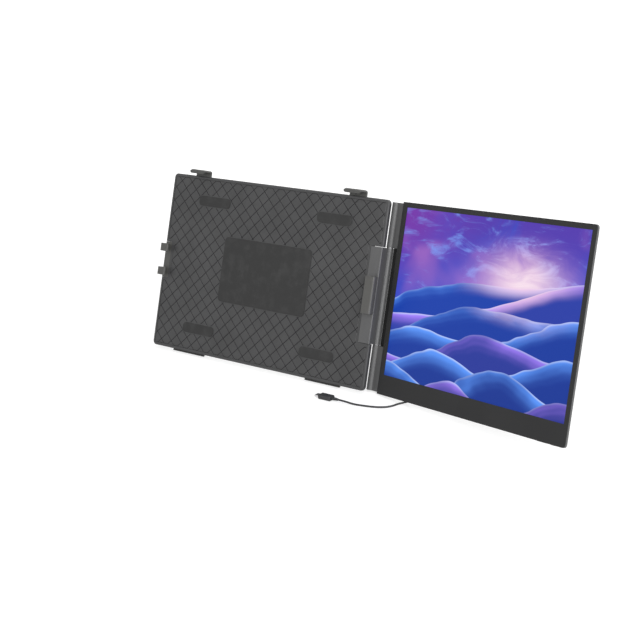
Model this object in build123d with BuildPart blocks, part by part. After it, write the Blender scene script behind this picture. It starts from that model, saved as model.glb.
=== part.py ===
from build123d import *
import os
from math import cos, pi, radians, sin, tan

os.makedirs("parts", exist_ok=True)

# A single-display laptop screen extender. A thin back plate hangs behind a laptop's lid and grips
# it with spring-dragged clips at the left, the top and the right. The right clip sits on a hinge
# housing that slides out of the plate and carries a second display on a two-barrel friction hinge.
# Origin: centre of the rubber pad that bears on the lid. X runs to the right, Z up, -Y to the user.
# Millimetres and degrees.

# ---------------------------------------------------------------- posture
TILT = 20.0  # the lid and the plate lean back from upright
SWING = 16.5  # the display is turned towards the user from flush with the plate

# ---------------------------------------------------------------- back plate
PLATE_W = 393.0
PLATE_H = 248.0
PLATE_T = 6.5
PLATE_SKIN = 1.5
PLATE_WALL = 2.0
PLATE_CORNER = 6.0
PLATE_EDGE_R = 1.9
FIELD_RIM = 4.0  # smooth border round the grooved field of the front
FIELD_DEPTH = 0.4
SEAT_RIM = 1.0
SEAM_DEPTH = 3.0  # how far behind its face the front cover ends
PAD_T = 0.8
LID_PAD_W = 160.0
LID_PAD_H = 90.0
PAD_STRIP_W = 60.0
PAD_STRIP_H = 14.0
PAD_STRIP_X = 110.0
PAD_STRIP_Y = 90.0
FOOT_W = 60.0
FOOT_D = 4.0
FOOT_DROP = 2.5
FOOT_X = 125.0

# ---------------------------------------------------------------- slides in the plate
RAIL_W = 14.0
RAIL_T = 1.5
RAIL_HEAD = 40.0  # from the stop pin to the rail's outer end
RAIL_TAIL = 40.0
SLEEVE_WALL = 0.5
SLEEVE_IN = 30.0  # from the stop pin to the sleeve's inner end
SLEEVE_OUT = 21.0
TOP_RAIL_TAIL = 34.0
SLIDE_GAP = 0.15
SLIDE_TRAVEL = 25.0
TOP_RETRACT = 5.4  # the top clips stand this far above their lowest place
PIN_R = 1.5
PIN_GAP = 0.3
SPRING_T = 0.3
SPRING_W = 8.0
SPRING_LEN = 15.0
SPRING_AT = 13.0
SPRING_FOOT = 3.0
WINDOW_INSET = 2.0
WINDOW_GAP = 0.5
SIDE_PIN_INSET = 46.5  # stop pins of the left and right slides, in from the plate's sides
RIGHT_RAIL_Y = 30.0
TOP_PIN_DROP = 44.0
TOP_CLIP_INSET = 55.0
SLOT_GAP = 0.3
PIN_SEAT = 0.7
RAIL_SCREW_X = 36.0

# ---------------------------------------------------------------- clips over the lid
LID_T = 8.0
LINER_T = 0.6
LIP_T = 2.0
CLIP_RECESS_D = 12.5  # depth of the notch in the plate's left edge
CLIP_H = 51.0
PRONG_Y = 17.0
PRONG_H = 11.0
PRONG_INSET = 1.5
PRONG_WALL = 6.0
PRONG_REACH = 8.0
TOP_CLIP_W = 28.0
TOP_BAR_T = 3.0
TOP_BAR_RISE = 5.5  # underside of the bar that passes over the lid, above the plate
TOP_LIP_DROP = 2.8
TOP_STEM_T = 2.6
TOP_STEM_SINK = 17.0
TOP_LIP_GAP = 0.4
BLOCK_GAP = 0.3
LINER_INSET = 1.0
TIP_ROUND = 1.6
BAR_ROUND = 2.8
BAR_HEEL_R = 1.0
TOP_LIP_ROUND = 0.9

# ---------------------------------------------------------------- hinge housing and right clip
AXIS_INSET = 1.0
AXIS_N = -17.0
BARREL_R = 5.0
HOUSING_H = 125.0
HOUSING_D = 18.0
HOUSING_LAP = 1.0  # how far the housing reaches past the hinge axis
HOUSING_FRONT = 0.5
HOUSING_BACK = -10.0
HOUSING_R = 1.5
KNUCKLE_ARM = 3.5  # the arm's side, short of the hinge axis
ARM_FILLET = 1.5
CAVITY_WALL = 2.0
NOTCH_GAP = 0.5
PLATE_LEDGE = 1.0
CAVITY_MARGIN = 6.2
HOUSING_PLATE_T = 1.5
RIGHT_CLIP_H = 48.0
RIGHT_OVERHANG = 1.5
RIGHT_WALL = 9.0
RIGHT_REACH = 6.0
PEG_R = 1.5
PEG_Y = 16.0
PEG_INSET = 2.5
PEG_GAP = 0.2
RIGHT_SHOULDER = 2.5
RIGHT_ROUND = 3.0
RIGHT_TIP_ROUND = 1.0
KNUCKLE_SEAT = 3.0

# ---------------------------------------------------------------- hinge
SHAFT_R = 2.5
SHAFT_SHORT = 4.5  # how far inside the barrel's mouth the shaft ends
SHAFT_START = 20.0
RUN_GAP = 0.05
BARREL_GAP = 1.0
BARREL_SHORT = 2.0
BARREL_BORE_R = 3.75
CAP_T = 2.0
LEAF_INSET = 6.5
LEAF_SHORT = 12.0
LEAF_HOLE_X = 8.0
LEAF_HOLE_STEP = 6.0
LEAF_HOLE_Y = 8.0
LEAF_RING_R = 3.7
LEAF_T = 1.2
LEAF_REACH = 23.5
WASHER_R = 4.6
WASHER_T = 0.8
SPRING_WASHER_T = 1.5
NUT_R = 3.5
NUT_T = 3.2
STACK_GAP = 0.1
CAP_R = 4.2
LEAF_GAP = 0.1

# ---------------------------------------------------------------- display
ACTIVE_W = 344.7
ACTIVE_H = 215.4
DISPLAY_H = 248.0
CHIN = 26.0
BEZEL_RIGHT = 6.9
BEZEL_LEFT = 9.2
DISPLAY_EDGE = 18.0  # hinge axis to the left edge of the bezel
GLASS_M = 2.0  # bezel face ahead of the hinge axis
BEZEL_T = 0.8
EDGE_T = 3.3
DISPLAY_T = 6.5
DISPLAY_SKIN = 1.3
DISPLAY_WALL = 1.6
DISPLAY_CORNER = 4.0
POCKET_CORNER = 0.5
WEB_FRONT = 1.2
WEB_BACK = -3.6
WEB_BLEND = 2.5
COVE_FRONT = -2.0  # floor of the cove that the knuckle turns in
COVE_GAP = 1.0
BLEND_LAP = 0.5  # how far added walls run into the body they grow from
LCD_BORDER = 1.5
LCD_FOOT = 5.0  # border of the panel below its active area
LCD_T = 1.1
GUIDE_T = 2.2
TRAY_T = 0.5
TRAY_RIM = 0.4
PANEL_GAP = 0.1
HUMP_IN = 128.0
HUMP_OUT = 300.0
HUMP_RISE = 4.5  # the hump's lower end above the display's
HUMP_TOP = -50.0
HUMP_T = 3.0
HUMP_CHAMFER = 1.5

# ---------------------------------------------------------------- cable bay, sockets and plugs
BAY_IN = 73.0
BAY_RISE = 7.0
BAY_WALL = 1.5
BAY_SKIN = 0.9
PLUG_RISE = 11.0
PLUG_W = 11.0
PLUG_T = 6.0
PLUG_LEN = 20.0
PLUG_ROUND = 2.4
BOOT_LEN = 10.0
BOOT_R = 2.4
SHELL_W = 8.34
SHELL_T = 2.56
SHELL_LEN = 6.6
SOCKET_WALL = 0.35
SOCKET_D = 7.6
SOCKET_FIT = 0.08
PORT_GAP = 0.05
SOCKET_BACK = 0.8
TONGUE_T = 0.7
TONGUE_INSET = 1.2
SEAT_GAP = 0.2
CORD_R = 1.25
CORD_LEAD = 6.8  # straight run out of the display plug's strain relief
BOOT_WALL = 0.35
FLOOR_Z = -121.3
LAPTOP_PLUG_X = 154.0
LAPTOP_PLUG_Y = -76.3

# Points that the free cord is laid through, between its two strain reliefs.
CORD_ROUTE = [
    (194.0, -76.3, -118.3),
    (208.0, -75.4, -120.05),
    (222.0, -73.4, -120.05),
    (235.0, -70.9, -120.05),
    (246.5, -66.6, -120.05),
    (253.2, -61.4, -120.05),
    (256.9, -54.9, -120.05),
    (258.1, -48.6, -120.05),
    (261.1, -42.9, -120.05),
    (266.6, -40.2, -118.6),
    (273.2, -41.1, -115.2),
    (279.0, -42.4, -108.9),
]

# ---------------------------------------------------------------- electronics
BOARD_W = 94.5
BOARD_INSET = 2.5
BOARD_LOW_GAP = 2.0
BOARD_TOP_GAP = 6.0
BOARD_T = 1.0
BOARD_POST_R = 2.0
BOARD_LIFT = 1.6
POST_INSET = 5.0
CHIP_T = 1.0
CHIPS = [(160.0, -80.0, 14.0), (185.0, -72.0, 9.0), (205.0, -95.0, 11.0)]
SPEAKER_W = 22.0
SPEAKER_H = 14.0
SPEAKER_T = 2.6
SPEAKERS_X = (246.0, 280.0)
SPEAKER_RISE = 31.0
GRILLE_SLOTS = 5
GRILLE_PITCH = 3.4
GRILLE_W = 1.2
GRILLE_INSET = 2.0
BUMPER_R = 5.0
BUMPER_T = 1.2
BUMPER_INSET = 14.0
BUMPER_LEFT = 40.0
COVER_SCREWS_X = (45.0, 315.0)
COVER_SCREW_RISE = 11.0

# ---------------------------------------------------------------- buttons
BUTTON_INSET = 20.8
BUTTON_W = 8.0
BUTTON_T = 1.4
BUTTON_OUT = 0.5
BUTTON_TRAVEL = 0.4
BUTTON_GAP = 0.2
FLANGE_T = 0.8
FLANGE_LIP = 1.5
ROCKER_STEP = 19.0
ROCKER_W = 16.0
ROCKER_GAP = 0.4
ROCKER_SETBACK = 0.4
SWITCH_W = 4.0
SWITCH_H = 3.0
BUTTON_BOARD_H = 10.0

# ---------------------------------------------------------------- kickstand
LEG_W = 110.0
LEG_L = 140.0
LEG_T = 2.6
LEG_SINK = 0.2
LEG_GAP = 0.3
LEG_PIVOT_Y = 44.0
LEG_FOOT_L = 8.0
LEG_FOOT_GAP = 0.2
LEG_PIN_R = 0.8
LEG_PIN_LEN = 14.0
POCKET_SKIN = 1.0
SCOOP_R = 11.0

# ---------------------------------------------------------------- screws
SCREW_R = 1.0
SCREW_HEAD_R = 1.9
SCREW_HEAD_T = 0.8
BOSS_R = 2.6
SCREW_GAP = 0.05
HEAD_GAP = 0.1
HEAD_SINK = 0.2
HOLE_WALL = 0.5  # wall left beyond the end of a blind screw hole
TIP_GAP = 0.2
CUT = 1.0  # how far a cut runs past the face it opens
SCREW_X_IN = 92.0
SCREW_INSET_X = 9.5
SCREW_INSET_Y = 9.0

# ---------------------------------------------------------------- derived levels
FRONT_N = -PAD_T
BACK_N = FRONT_N - PLATE_T
SEAM_N = FRONT_N - SEAM_DEPTH
CEILING_N = FRONT_N - PLATE_SKIN
FLOOR_N = BACK_N + PLATE_SKIN
RAIL_BACK = FLOOR_N + SLEEVE_WALL + SLIDE_GAP
RAIL_FRONT = RAIL_BACK + RAIL_T
SLEEVE_FRONT = RAIL_FRONT + SLIDE_GAP + SLEEVE_WALL
LIP_N = LID_T + LINER_T
HALF_W = PLATE_W / 2
HALF_H = PLATE_H / 2
SIDE_PIN_X = HALF_W - SIDE_PIN_INSET
TOP_PIN_Y = HALF_H - TOP_PIN_DROP
TOP_CLIP_X = HALF_W - TOP_CLIP_INSET
TOP_BAR_Y = HALF_H + TOP_BAR_RISE
TOP_LIP_Y = TOP_BAR_Y - TOP_LIP_DROP
TOP_STEM_END = HALF_H - TOP_STEM_SINK
PRONG_WALL_OUT = HALF_W - PRONG_INSET
PRONG_WALL_IN = PRONG_WALL_OUT - PRONG_WALL
PRONG_TIP_X = PRONG_WALL_IN - PRONG_REACH
SCREW_X_OUT = HALF_W - SCREW_INSET_X
SCREW_Y = HALF_H - SCREW_INSET_Y
AXIS_X = HALF_W - AXIS_INSET
HOUSING_OUT = AXIS_X + HOUSING_LAP
HOUSING_IN = HOUSING_OUT - HOUSING_D
HOUSING_NOTCH_X = HOUSING_IN - NOTCH_GAP
RIGHT_WALL_OUT = HOUSING_OUT + RIGHT_OVERHANG
RIGHT_WALL_IN = RIGHT_WALL_OUT - RIGHT_WALL
RIGHT_TIP_X = RIGHT_WALL_IN - RIGHT_REACH
PEG_X = RIGHT_WALL_IN + PEG_INSET
HALF_DISPLAY = DISPLAY_H / 2
BARREL_START = HOUSING_H / 2 + BARREL_GAP
BARREL_END = HALF_DISPLAY - BARREL_SHORT
LEAF_START = BARREL_START + LEAF_INSET
LEAF_END = BARREL_END - LEAF_SHORT
SHAFT_END = BARREL_END - SHAFT_SHORT
HUMP_LOW = -HALF_DISPLAY + HUMP_RISE
PLUG_Y = -HALF_DISPLAY + PLUG_RISE
BAY_TOP = PLUG_Y + BAY_RISE
SPEAKER_Y = -HALF_DISPLAY + SPEAKER_RISE
COVER_SCREW_Y = -HALF_DISPLAY + COVER_SCREW_RISE
BOARD_X = (HUMP_IN + BOARD_INSET, HUMP_IN + BOARD_INSET + BOARD_W)
BOARD_Y = (HUMP_LOW + BOARD_LOW_GAP, HUMP_TOP - BOARD_TOP_GAP)
POCKET_N = BACK_N + LEG_SINK + LEG_T + LEG_GAP
LEG_N = BACK_N + LEG_SINK + LEG_T / 2
REAR_M = GLASS_M - DISPLAY_T
BEZEL_M = GLASS_M - BEZEL_T
EDGE_M = GLASS_M - EDGE_T
BEVEL = DISPLAY_T - EDGE_T
INNER_M = REAR_M + DISPLAY_SKIN
HUMP_M = REAR_M - HUMP_T
HUMP_INNER_M = HUMP_M + DISPLAY_SKIN
ACTIVE_L = DISPLAY_EDGE + BEZEL_LEFT
ACTIVE_R = ACTIVE_L + ACTIVE_W
DISPLAY_R = ACTIVE_R + BEZEL_RIGHT
BUTTON_X = DISPLAY_R - BUTTON_INSET
ROCKER_X = BUTTON_X - ROCKER_STEP
ACTIVE_B = -DISPLAY_H / 2 + CHIN
ACTIVE_TOP = ACTIVE_B + ACTIVE_H
LCD_M = BEZEL_M - PANEL_GAP
GUIDE_M = LCD_M - LCD_T
TRAY_M = GUIDE_M - GUIDE_T
BAY_M = GLASS_M - BEZEL_T - 2 * BAY_SKIN - 2 * PANEL_GAP
PLUG_M = BAY_M - PANEL_GAP * 2 - PLUG_T / 2

PLATE = Plane(origin=(0, 0, 0), x_dir=(1, 0, 0), z_dir=(0, -cos(radians(TILT)), sin(radians(TILT))))
DISPLAY = Plane(PLATE.location * Location((AXIS_X, 0, AXIS_N), (0, -SWING, 0)))


def moved(base, x=0.0, y=0.0, n=0.0):
    """The same plane with its origin moved along its own axes."""
    return Plane(base.location * Location((x, y, n)))


def across(base, y=0.0):
    """The plane of x and depth at height y, whose normal points down the plate."""
    return Plane(base.location * Location((0, y, 0), (90, 0, 0)))


def sideways(base, x=0.0):
    """The plane of height and depth at x, whose normal is x."""
    return Plane(origin=base.from_local_coords((x, 0, 0)), x_dir=base.y_dir, z_dir=base.x_dir)


def slab(base, xs, ys, ns, corner=0.0, mode=Mode.ADD):
    """A block between two x, two y and two depths of a plane, its outline rounded by corner."""
    width = xs[1] - xs[0]
    height = ys[1] - ys[0]
    with BuildSketch(moved(base, (xs[0] + xs[1]) / 2, (ys[0] + ys[1]) / 2, ns[0])) as outline:
        if corner > 0:
            RectangleRounded(width, height, corner)
        else:
            Rectangle(width, height)
    extrude(outline.sketch, amount=ns[1] - ns[0], mode=mode)


def drum(base, centre, radius, ns, mode=Mode.ADD):
    """A round boss, hole or pin between two depths of a plane."""
    with BuildSketch(moved(base, centre[0], centre[1], ns[0])) as outline:
        Circle(radius)
    extrude(outline.sketch, amount=ns[1] - ns[0], mode=mode)


def around_axis(radius, ys, inner=0.0, mode=Mode.ADD):
    """A cylinder or a ring on the hinge axis between two heights."""
    with BuildSketch(across(DISPLAY, ys[0])) as outline:
        Circle(radius)
        if inner > 0:
            Circle(inner, mode=Mode.SUBTRACT)
    extrude(outline.sketch, amount=ys[0] - ys[1], mode=mode)


def countersunk(base, centre, head_n, tip_n):
    """A screw with a flat head: its head stands at head_n, its tip at tip_n, ahead of it."""
    drum(base, centre, SCREW_HEAD_R, (head_n, head_n + SCREW_HEAD_T))
    drum(base, centre, SCREW_R, (head_n + SCREW_HEAD_T, tip_n))


def span(low, high, grow=0.0):
    return (low - grow, high + grow)


def centred(width, grow=0.0, about=0.0):
    return (about - width / 2 - grow, about + width / 2 + grow)


# ---------------------------------------------------------------- places of the five slides
# Each slide has a plane of its own: x outwards along the travel, y across, depth as the plate's,
# with its origin at the stop pin.
LEFT_SLIDE = Plane(
    origin=PLATE.from_local_coords((-SIDE_PIN_X, 0, 0)), x_dir=-PLATE.x_dir, z_dir=PLATE.z_dir
)
RIGHT_SLIDES = [moved(PLATE, SIDE_PIN_X, y) for y in (-RIGHT_RAIL_Y, RIGHT_RAIL_Y)]
TOP_SLIDES = [
    Plane(origin=PLATE.from_local_coords((x, TOP_PIN_Y, 0)), x_dir=PLATE.y_dir, z_dir=PLATE.z_dir)
    for x in (-TOP_CLIP_X, TOP_CLIP_X)
]
ALL_SLIDES = [LEFT_SLIDE] + RIGHT_SLIDES + TOP_SLIDES


def rail(slide, tail=RAIL_TAIL, retract=0.0):
    """A steel strip with the long hole that the stop pin runs in."""
    slab(slide, (-tail, RAIL_HEAD), centred(RAIL_W), (RAIL_BACK, RAIL_FRONT))
    room = PIN_R + PIN_GAP
    hole = (-SLIDE_TRAVEL - room, retract + room)
    slab(slide, hole, centred(2 * room), (RAIL_BACK, RAIL_FRONT), room * 0.999, Mode.SUBTRACT)
    drum(slide, (RAIL_SCREW_X, 0), SCREW_R + SCREW_GAP, (RAIL_BACK, RAIL_FRONT), Mode.SUBTRACT)


# ================================================================ back plate
SCREW_SPOTS = [
    (x, y)
    for x in (-SCREW_X_OUT, -SCREW_X_IN, SCREW_X_IN, SCREW_X_OUT)
    for y in (-SCREW_Y, SCREW_Y)
]
CLIP_NOTCH_X = -HALF_W + CLIP_RECESS_D
PAD_STRIPS = [
    (x, y) for x in (-PAD_STRIP_X, PAD_STRIP_X) for y in (-PAD_STRIP_Y, PAD_STRIP_Y)
]
HOUSING_NOTCH_H = HOUSING_H + 2 * NOTCH_GAP
CLIP_NOTCH_H = CLIP_H + 2 * BLOCK_GAP
STEM_N = (RAIL_BACK + RAIL_T / 2 - TOP_STEM_T / 2, RAIL_BACK + RAIL_T / 2 + TOP_STEM_T / 2)


def plate_half(open_n, floor_n, face_n):
    """One cover of the plate: a tray with a rounded rim, the two side notches and the rail slots."""
    slab(PLATE, (-HALF_W, HALF_W), (-HALF_H, HALF_H), (open_n, face_n), PLATE_CORNER)
    rim = BuildPart._get_context().faces().filter_by(PLATE).sort_by(Axis((0, 0, 0), PLATE.z_dir))
    fillet(rim[-1 if face_n > open_n else 0].edges(), PLATE_EDGE_R)
    inner_w = HALF_W - PLATE_WALL
    inner_h = HALF_H - PLATE_WALL
    room = PLATE_CORNER - PLATE_WALL
    slab(PLATE, (-inner_w, inner_w), (-inner_h, inner_h), (open_n, floor_n), room, Mode.SUBTRACT)
    depth = (open_n, face_n)
    right_wall = (HOUSING_NOTCH_X - PLATE_WALL, HALF_W - PLATE_WALL / 2)
    slab(PLATE, right_wall, centred(HOUSING_NOTCH_H, PLATE_WALL), (open_n, floor_n))
    slab(PLATE, (HOUSING_NOTCH_X, HALF_W + CUT), centred(HOUSING_NOTCH_H), depth, 0, Mode.SUBTRACT)
    left_wall = (-HALF_W + PLATE_WALL / 2, CLIP_NOTCH_X + PLATE_WALL)
    slab(PLATE, left_wall, centred(CLIP_NOTCH_H, PLATE_WALL), (open_n, floor_n))
    slab(PLATE, (-HALF_W - CUT, CLIP_NOTCH_X), centred(CLIP_NOTCH_H), depth, 0, Mode.SUBTRACT)


def rail_slots():
    """The slots that the rails and the top clips' stems leave the plate by."""
    level = (RAIL_BACK - SLIDE_GAP, RAIL_FRONT + SLIDE_GAP)
    for slide in [LEFT_SLIDE] + RIGHT_SLIDES:
        slab(slide, (SLEEVE_OUT, RAIL_HEAD), centred(RAIL_W, SLOT_GAP), level, 0, Mode.SUBTRACT)
    stem_level = span(STEM_N[0], STEM_N[1], SLIDE_GAP)
    for slide in TOP_SLIDES:
        reach = (HALF_H - PLATE_WALL - TOP_PIN_Y - CUT, HALF_H - TOP_PIN_Y + CUT)
        slab(slide, reach, centred(TOP_CLIP_W, SLOT_GAP), stem_level, 0, Mode.SUBTRACT)


with BuildPart() as front_cover:
    plate_half(SEAM_N, CEILING_N, FRONT_N)
    for spot in SCREW_SPOTS:
        drum(PLATE, spot, BOSS_R, (FLOOR_N, CEILING_N))
    rail_slots()
    with BuildSketch(moved(PLATE, n=FRONT_N)) as field:
        RectangleRounded(PLATE_W - 2 * FIELD_RIM, PLATE_H - 2 * FIELD_RIM, PLATE_CORNER - FIELD_RIM)
        notches = ((1, HOUSING_NOTCH_X, HOUSING_NOTCH_H), (-1, -CLIP_NOTCH_X, CLIP_NOTCH_H))
        for side, edge, height in notches:
            reach = HALF_W - edge + FIELD_RIM
            with Locations((side * (HALF_W - reach / 2), 0)):
                Rectangle(reach, height + 2 * FIELD_RIM, mode=Mode.SUBTRACT)
        for width, height, spots in (
            (LID_PAD_W, LID_PAD_H, [(0, 0)]),
            (PAD_STRIP_W, PAD_STRIP_H, PAD_STRIPS),
        ):
            with Locations(*spots):
                seat = width + 2 * SEAT_RIM, height + 2 * SEAT_RIM
                RectangleRounded(*seat, PLATE_CORNER + SEAT_RIM, mode=Mode.SUBTRACT)
    extrude(field.sketch, amount=-FIELD_DEPTH, mode=Mode.SUBTRACT)
    for spot in SCREW_SPOTS:
        hole = (FLOOR_N, CEILING_N - HOLE_WALL)
        drum(PLATE, spot, SCREW_R + SCREW_GAP, hole, Mode.SUBTRACT)
front_cover.part.label = "front_cover"
export_step(front_cover.part, "parts/front_cover.step")

POCKET_X = LEG_W / 2 + LEG_GAP
POCKET_TOP = LEG_PIVOT_Y + LEG_T / 2 + LEG_GAP
POCKET_LOW = LEG_PIVOT_Y - LEG_L - LEG_GAP
with BuildPart() as rear_shell:
    plate_half(SEAM_N, FLOOR_N, BACK_N)
    pocket_y = (POCKET_LOW, POCKET_TOP)
    bank = PLATE_WALL + LEG_PIN_LEN / 2
    slab(
        PLATE,
        (-POCKET_X - bank, POCKET_X + bank),
        (POCKET_LOW - SCOOP_R - PLATE_WALL, POCKET_TOP + PLATE_WALL),
        (FLOOR_N - PLATE_SKIN / 2, POCKET_N + POCKET_SKIN),
    )
    slab(PLATE, (-POCKET_X, POCKET_X), pocket_y, (BACK_N - CUT, POCKET_N), 0, Mode.SUBTRACT)
    drum(PLATE, (0, POCKET_LOW), SCOOP_R, (BACK_N - CUT, POCKET_N), Mode.SUBTRACT)
    for side in (-1, 1):
        pin = moved(sideways(PLATE, side * (POCKET_X - CUT)), LEG_PIVOT_Y, LEG_N)
        reach = side * (LEG_PIN_LEN / 2 + CUT)
        drum(pin, (0, 0), LEG_PIN_R, (0, reach), Mode.SUBTRACT)
    rail_slots()
    for spot in SCREW_SPOTS:
        head = (BACK_N - CUT, BACK_N + SCREW_HEAD_T + HEAD_SINK)
        drum(PLATE, spot, SCREW_HEAD_R + HEAD_GAP, head, Mode.SUBTRACT)
        drum(PLATE, spot, SCREW_R + SCREW_GAP, (BACK_N, FLOOR_N), Mode.SUBTRACT)
    for slide in ALL_SLIDES:
        drum(slide, (0, 0), PIN_R, (FLOOR_N - PIN_SEAT, FLOOR_N), Mode.SUBTRACT)
rear_shell.part.label = "rear_shell"
export_step(rear_shell.part, "parts/rear_shell.step")

with BuildPart() as cover_screws:
    for spot in SCREW_SPOTS:
        countersunk(PLATE, spot, BACK_N + HEAD_SINK, CEILING_N - HOLE_WALL - TIP_GAP)
cover_screws.part.label = "cover_screws"
export_step(cover_screws.part, "parts/cover_screws.step")

with BuildPart() as lid_pad:
    slab(PLATE, centred(LID_PAD_W), centred(LID_PAD_H), (FRONT_N, 0), PLATE_CORNER)
lid_pad.part.label = "lid_pad"
export_step(lid_pad.part, "parts/lid_pad.step")

with BuildPart() as corner_pads:
    for x, y in PAD_STRIPS:
        strip = centred(PAD_STRIP_W, about=x), centred(PAD_STRIP_H, about=y)
        slab(PLATE, strip[0], strip[1], (FRONT_N, 0), PLATE_CORNER)
corner_pads.part.label = "corner_pads"
export_step(corner_pads.part, "parts/corner_pads.step")

with BuildPart() as bottom_feet:
    middle = (FRONT_N + BACK_N) / 2
    for x in (-FOOT_X, FOOT_X):
        level = centred(FOOT_D, about=middle)
        slab(PLATE, centred(FOOT_W, about=x), (-HALF_H - FOOT_DROP, -HALF_H), level)
bottom_feet.part.label = "bottom_feet"
export_step(bottom_feet.part, "parts/bottom_feet.step")

with BuildPart() as slide_sleeves:
    for slide in ALL_SLIDES:
        reach = (-SLEEVE_IN, SLEEVE_OUT)
        inside = centred(RAIL_W, SLIDE_GAP)
        slab(slide, reach, centred(RAIL_W, SLIDE_GAP + SLEEVE_WALL), (FLOOR_N, SLEEVE_FRONT))
        level = span(RAIL_BACK, RAIL_FRONT, SLIDE_GAP)
        slab(slide, reach, inside, level, 0, Mode.SUBTRACT)
        window = centred(SPRING_LEN, -WINDOW_INSET, SPRING_AT)
        opening = (RAIL_FRONT, SLEEVE_FRONT)
        slab(slide, window, centred(SPRING_W, WINDOW_GAP), opening, 0, Mode.SUBTRACT)
        drum(slide, (0, 0), PIN_R, (FLOOR_N, SLEEVE_FRONT), Mode.SUBTRACT)
slide_sleeves.part.label = "slide_sleeves"
export_step(slide_sleeves.part, "parts/slide_sleeves.step")

with BuildPart() as stop_pins:
    for slide in ALL_SLIDES:
        drum(slide, (0, 0), PIN_R, (FLOOR_N - PIN_SEAT, CEILING_N))
stop_pins.part.label = "stop_pins"
export_step(stop_pins.part, "parts/stop_pins.step")

# Each drag spring is a strip that rests on its sleeve and bows down through the window to the rail.
with BuildPart() as drag_springs:
    for slide in ALL_SLIDES:
        dip = SLEEVE_FRONT - RAIL_FRONT - RUN_GAP
        half = SPRING_LEN / 2
        bow = half - SPRING_FOOT
        level = moved(across(slide), SPRING_AT, SLEEVE_FRONT + SPRING_T / 2)
        with BuildSketch(level) as strip:
            with BuildLine():
                Polyline((-half, SPRING_T / 2), (-bow, SPRING_T / 2))
                ThreePointArc((-bow, SPRING_T / 2), (0, SPRING_T / 2 - dip), (bow, SPRING_T / 2))
                Polyline(
                    (bow, SPRING_T / 2),
                    (half, SPRING_T / 2),
                    (half, -SPRING_T / 2),
                    (bow, -SPRING_T / 2),
                )
                ThreePointArc((bow, -SPRING_T / 2), (0, -SPRING_T / 2 - dip), (-bow, -SPRING_T / 2))
                Polyline((-bow, -SPRING_T / 2), (-half, -SPRING_T / 2), (-half, SPRING_T / 2))
            make_face()
        extrude(strip.sketch, amount=SPRING_W / 2, both=True)
drag_springs.part.label = "drag_springs"
export_step(drag_springs.part, "parts/drag_springs.step")

with BuildPart() as kickstand_pins:
    for side in (-1, 1):
        start = POCKET_X + LEG_PIN_LEN / 2 - TIP_GAP
        pin = moved(sideways(PLATE, side * start), LEG_PIVOT_Y, LEG_N)
        drum(pin, (0, 0), LEG_PIN_R, (0, -side * LEG_PIN_LEN))
kickstand_pins.part.label = "kickstand_pins"
export_step(kickstand_pins.part, "parts/kickstand_pins.step")

# ================================================================ kickstand
LEG_END_Y = LEG_PIVOT_Y - LEG_L
with BuildPart() as kickstand_leg:
    level = centred(LEG_T, about=LEG_N)
    slab(PLATE, centred(LEG_W), (LEG_END_Y, LEG_PIVOT_Y), level)
    corners = kickstand_leg.edges().filter_by(Axis((0, 0, 0), PLATE.z_dir))
    fillet(corners.group_by(Axis((0, 0, 0), PLATE.y_dir))[0], PLATE_CORNER)
    roll = moved(sideways(PLATE), LEG_PIVOT_Y, LEG_N)
    drum(roll, (0, 0), LEG_T / 2, (-LEG_W / 2, LEG_W / 2))
    for side in (-1, 1):
        reach = (side * (LEG_W / 2 - LEG_PIN_LEN / 2 - CUT), side * (LEG_W / 2 + CUT))
        drum(roll, (0, 0), LEG_PIN_R + RUN_GAP, reach, Mode.SUBTRACT)
    seat_x = centred(LEG_W - 4 * PLATE_CORNER, LEG_FOOT_GAP)
    seat_y = (LEG_END_Y + PLATE_CORNER / 2, LEG_END_Y + PLATE_CORNER / 2 + LEG_FOOT_L)
    slab(PLATE, seat_x, seat_y, (level[0] - CUT, LEG_N), 0, Mode.SUBTRACT)
kickstand_leg.part.label = "kickstand_leg"
export_step(kickstand_leg.part, "parts/kickstand_leg.step")

with BuildPart() as kickstand_foot:
    foot_x = centred(LEG_W - 4 * PLATE_CORNER)
    slab(PLATE, foot_x, span(seat_y[0], seat_y[1], -LEG_FOOT_GAP), (level[0], LEG_N))
kickstand_foot.part.label = "kickstand_foot"
export_step(kickstand_foot.part, "parts/kickstand_foot.step")

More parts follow.
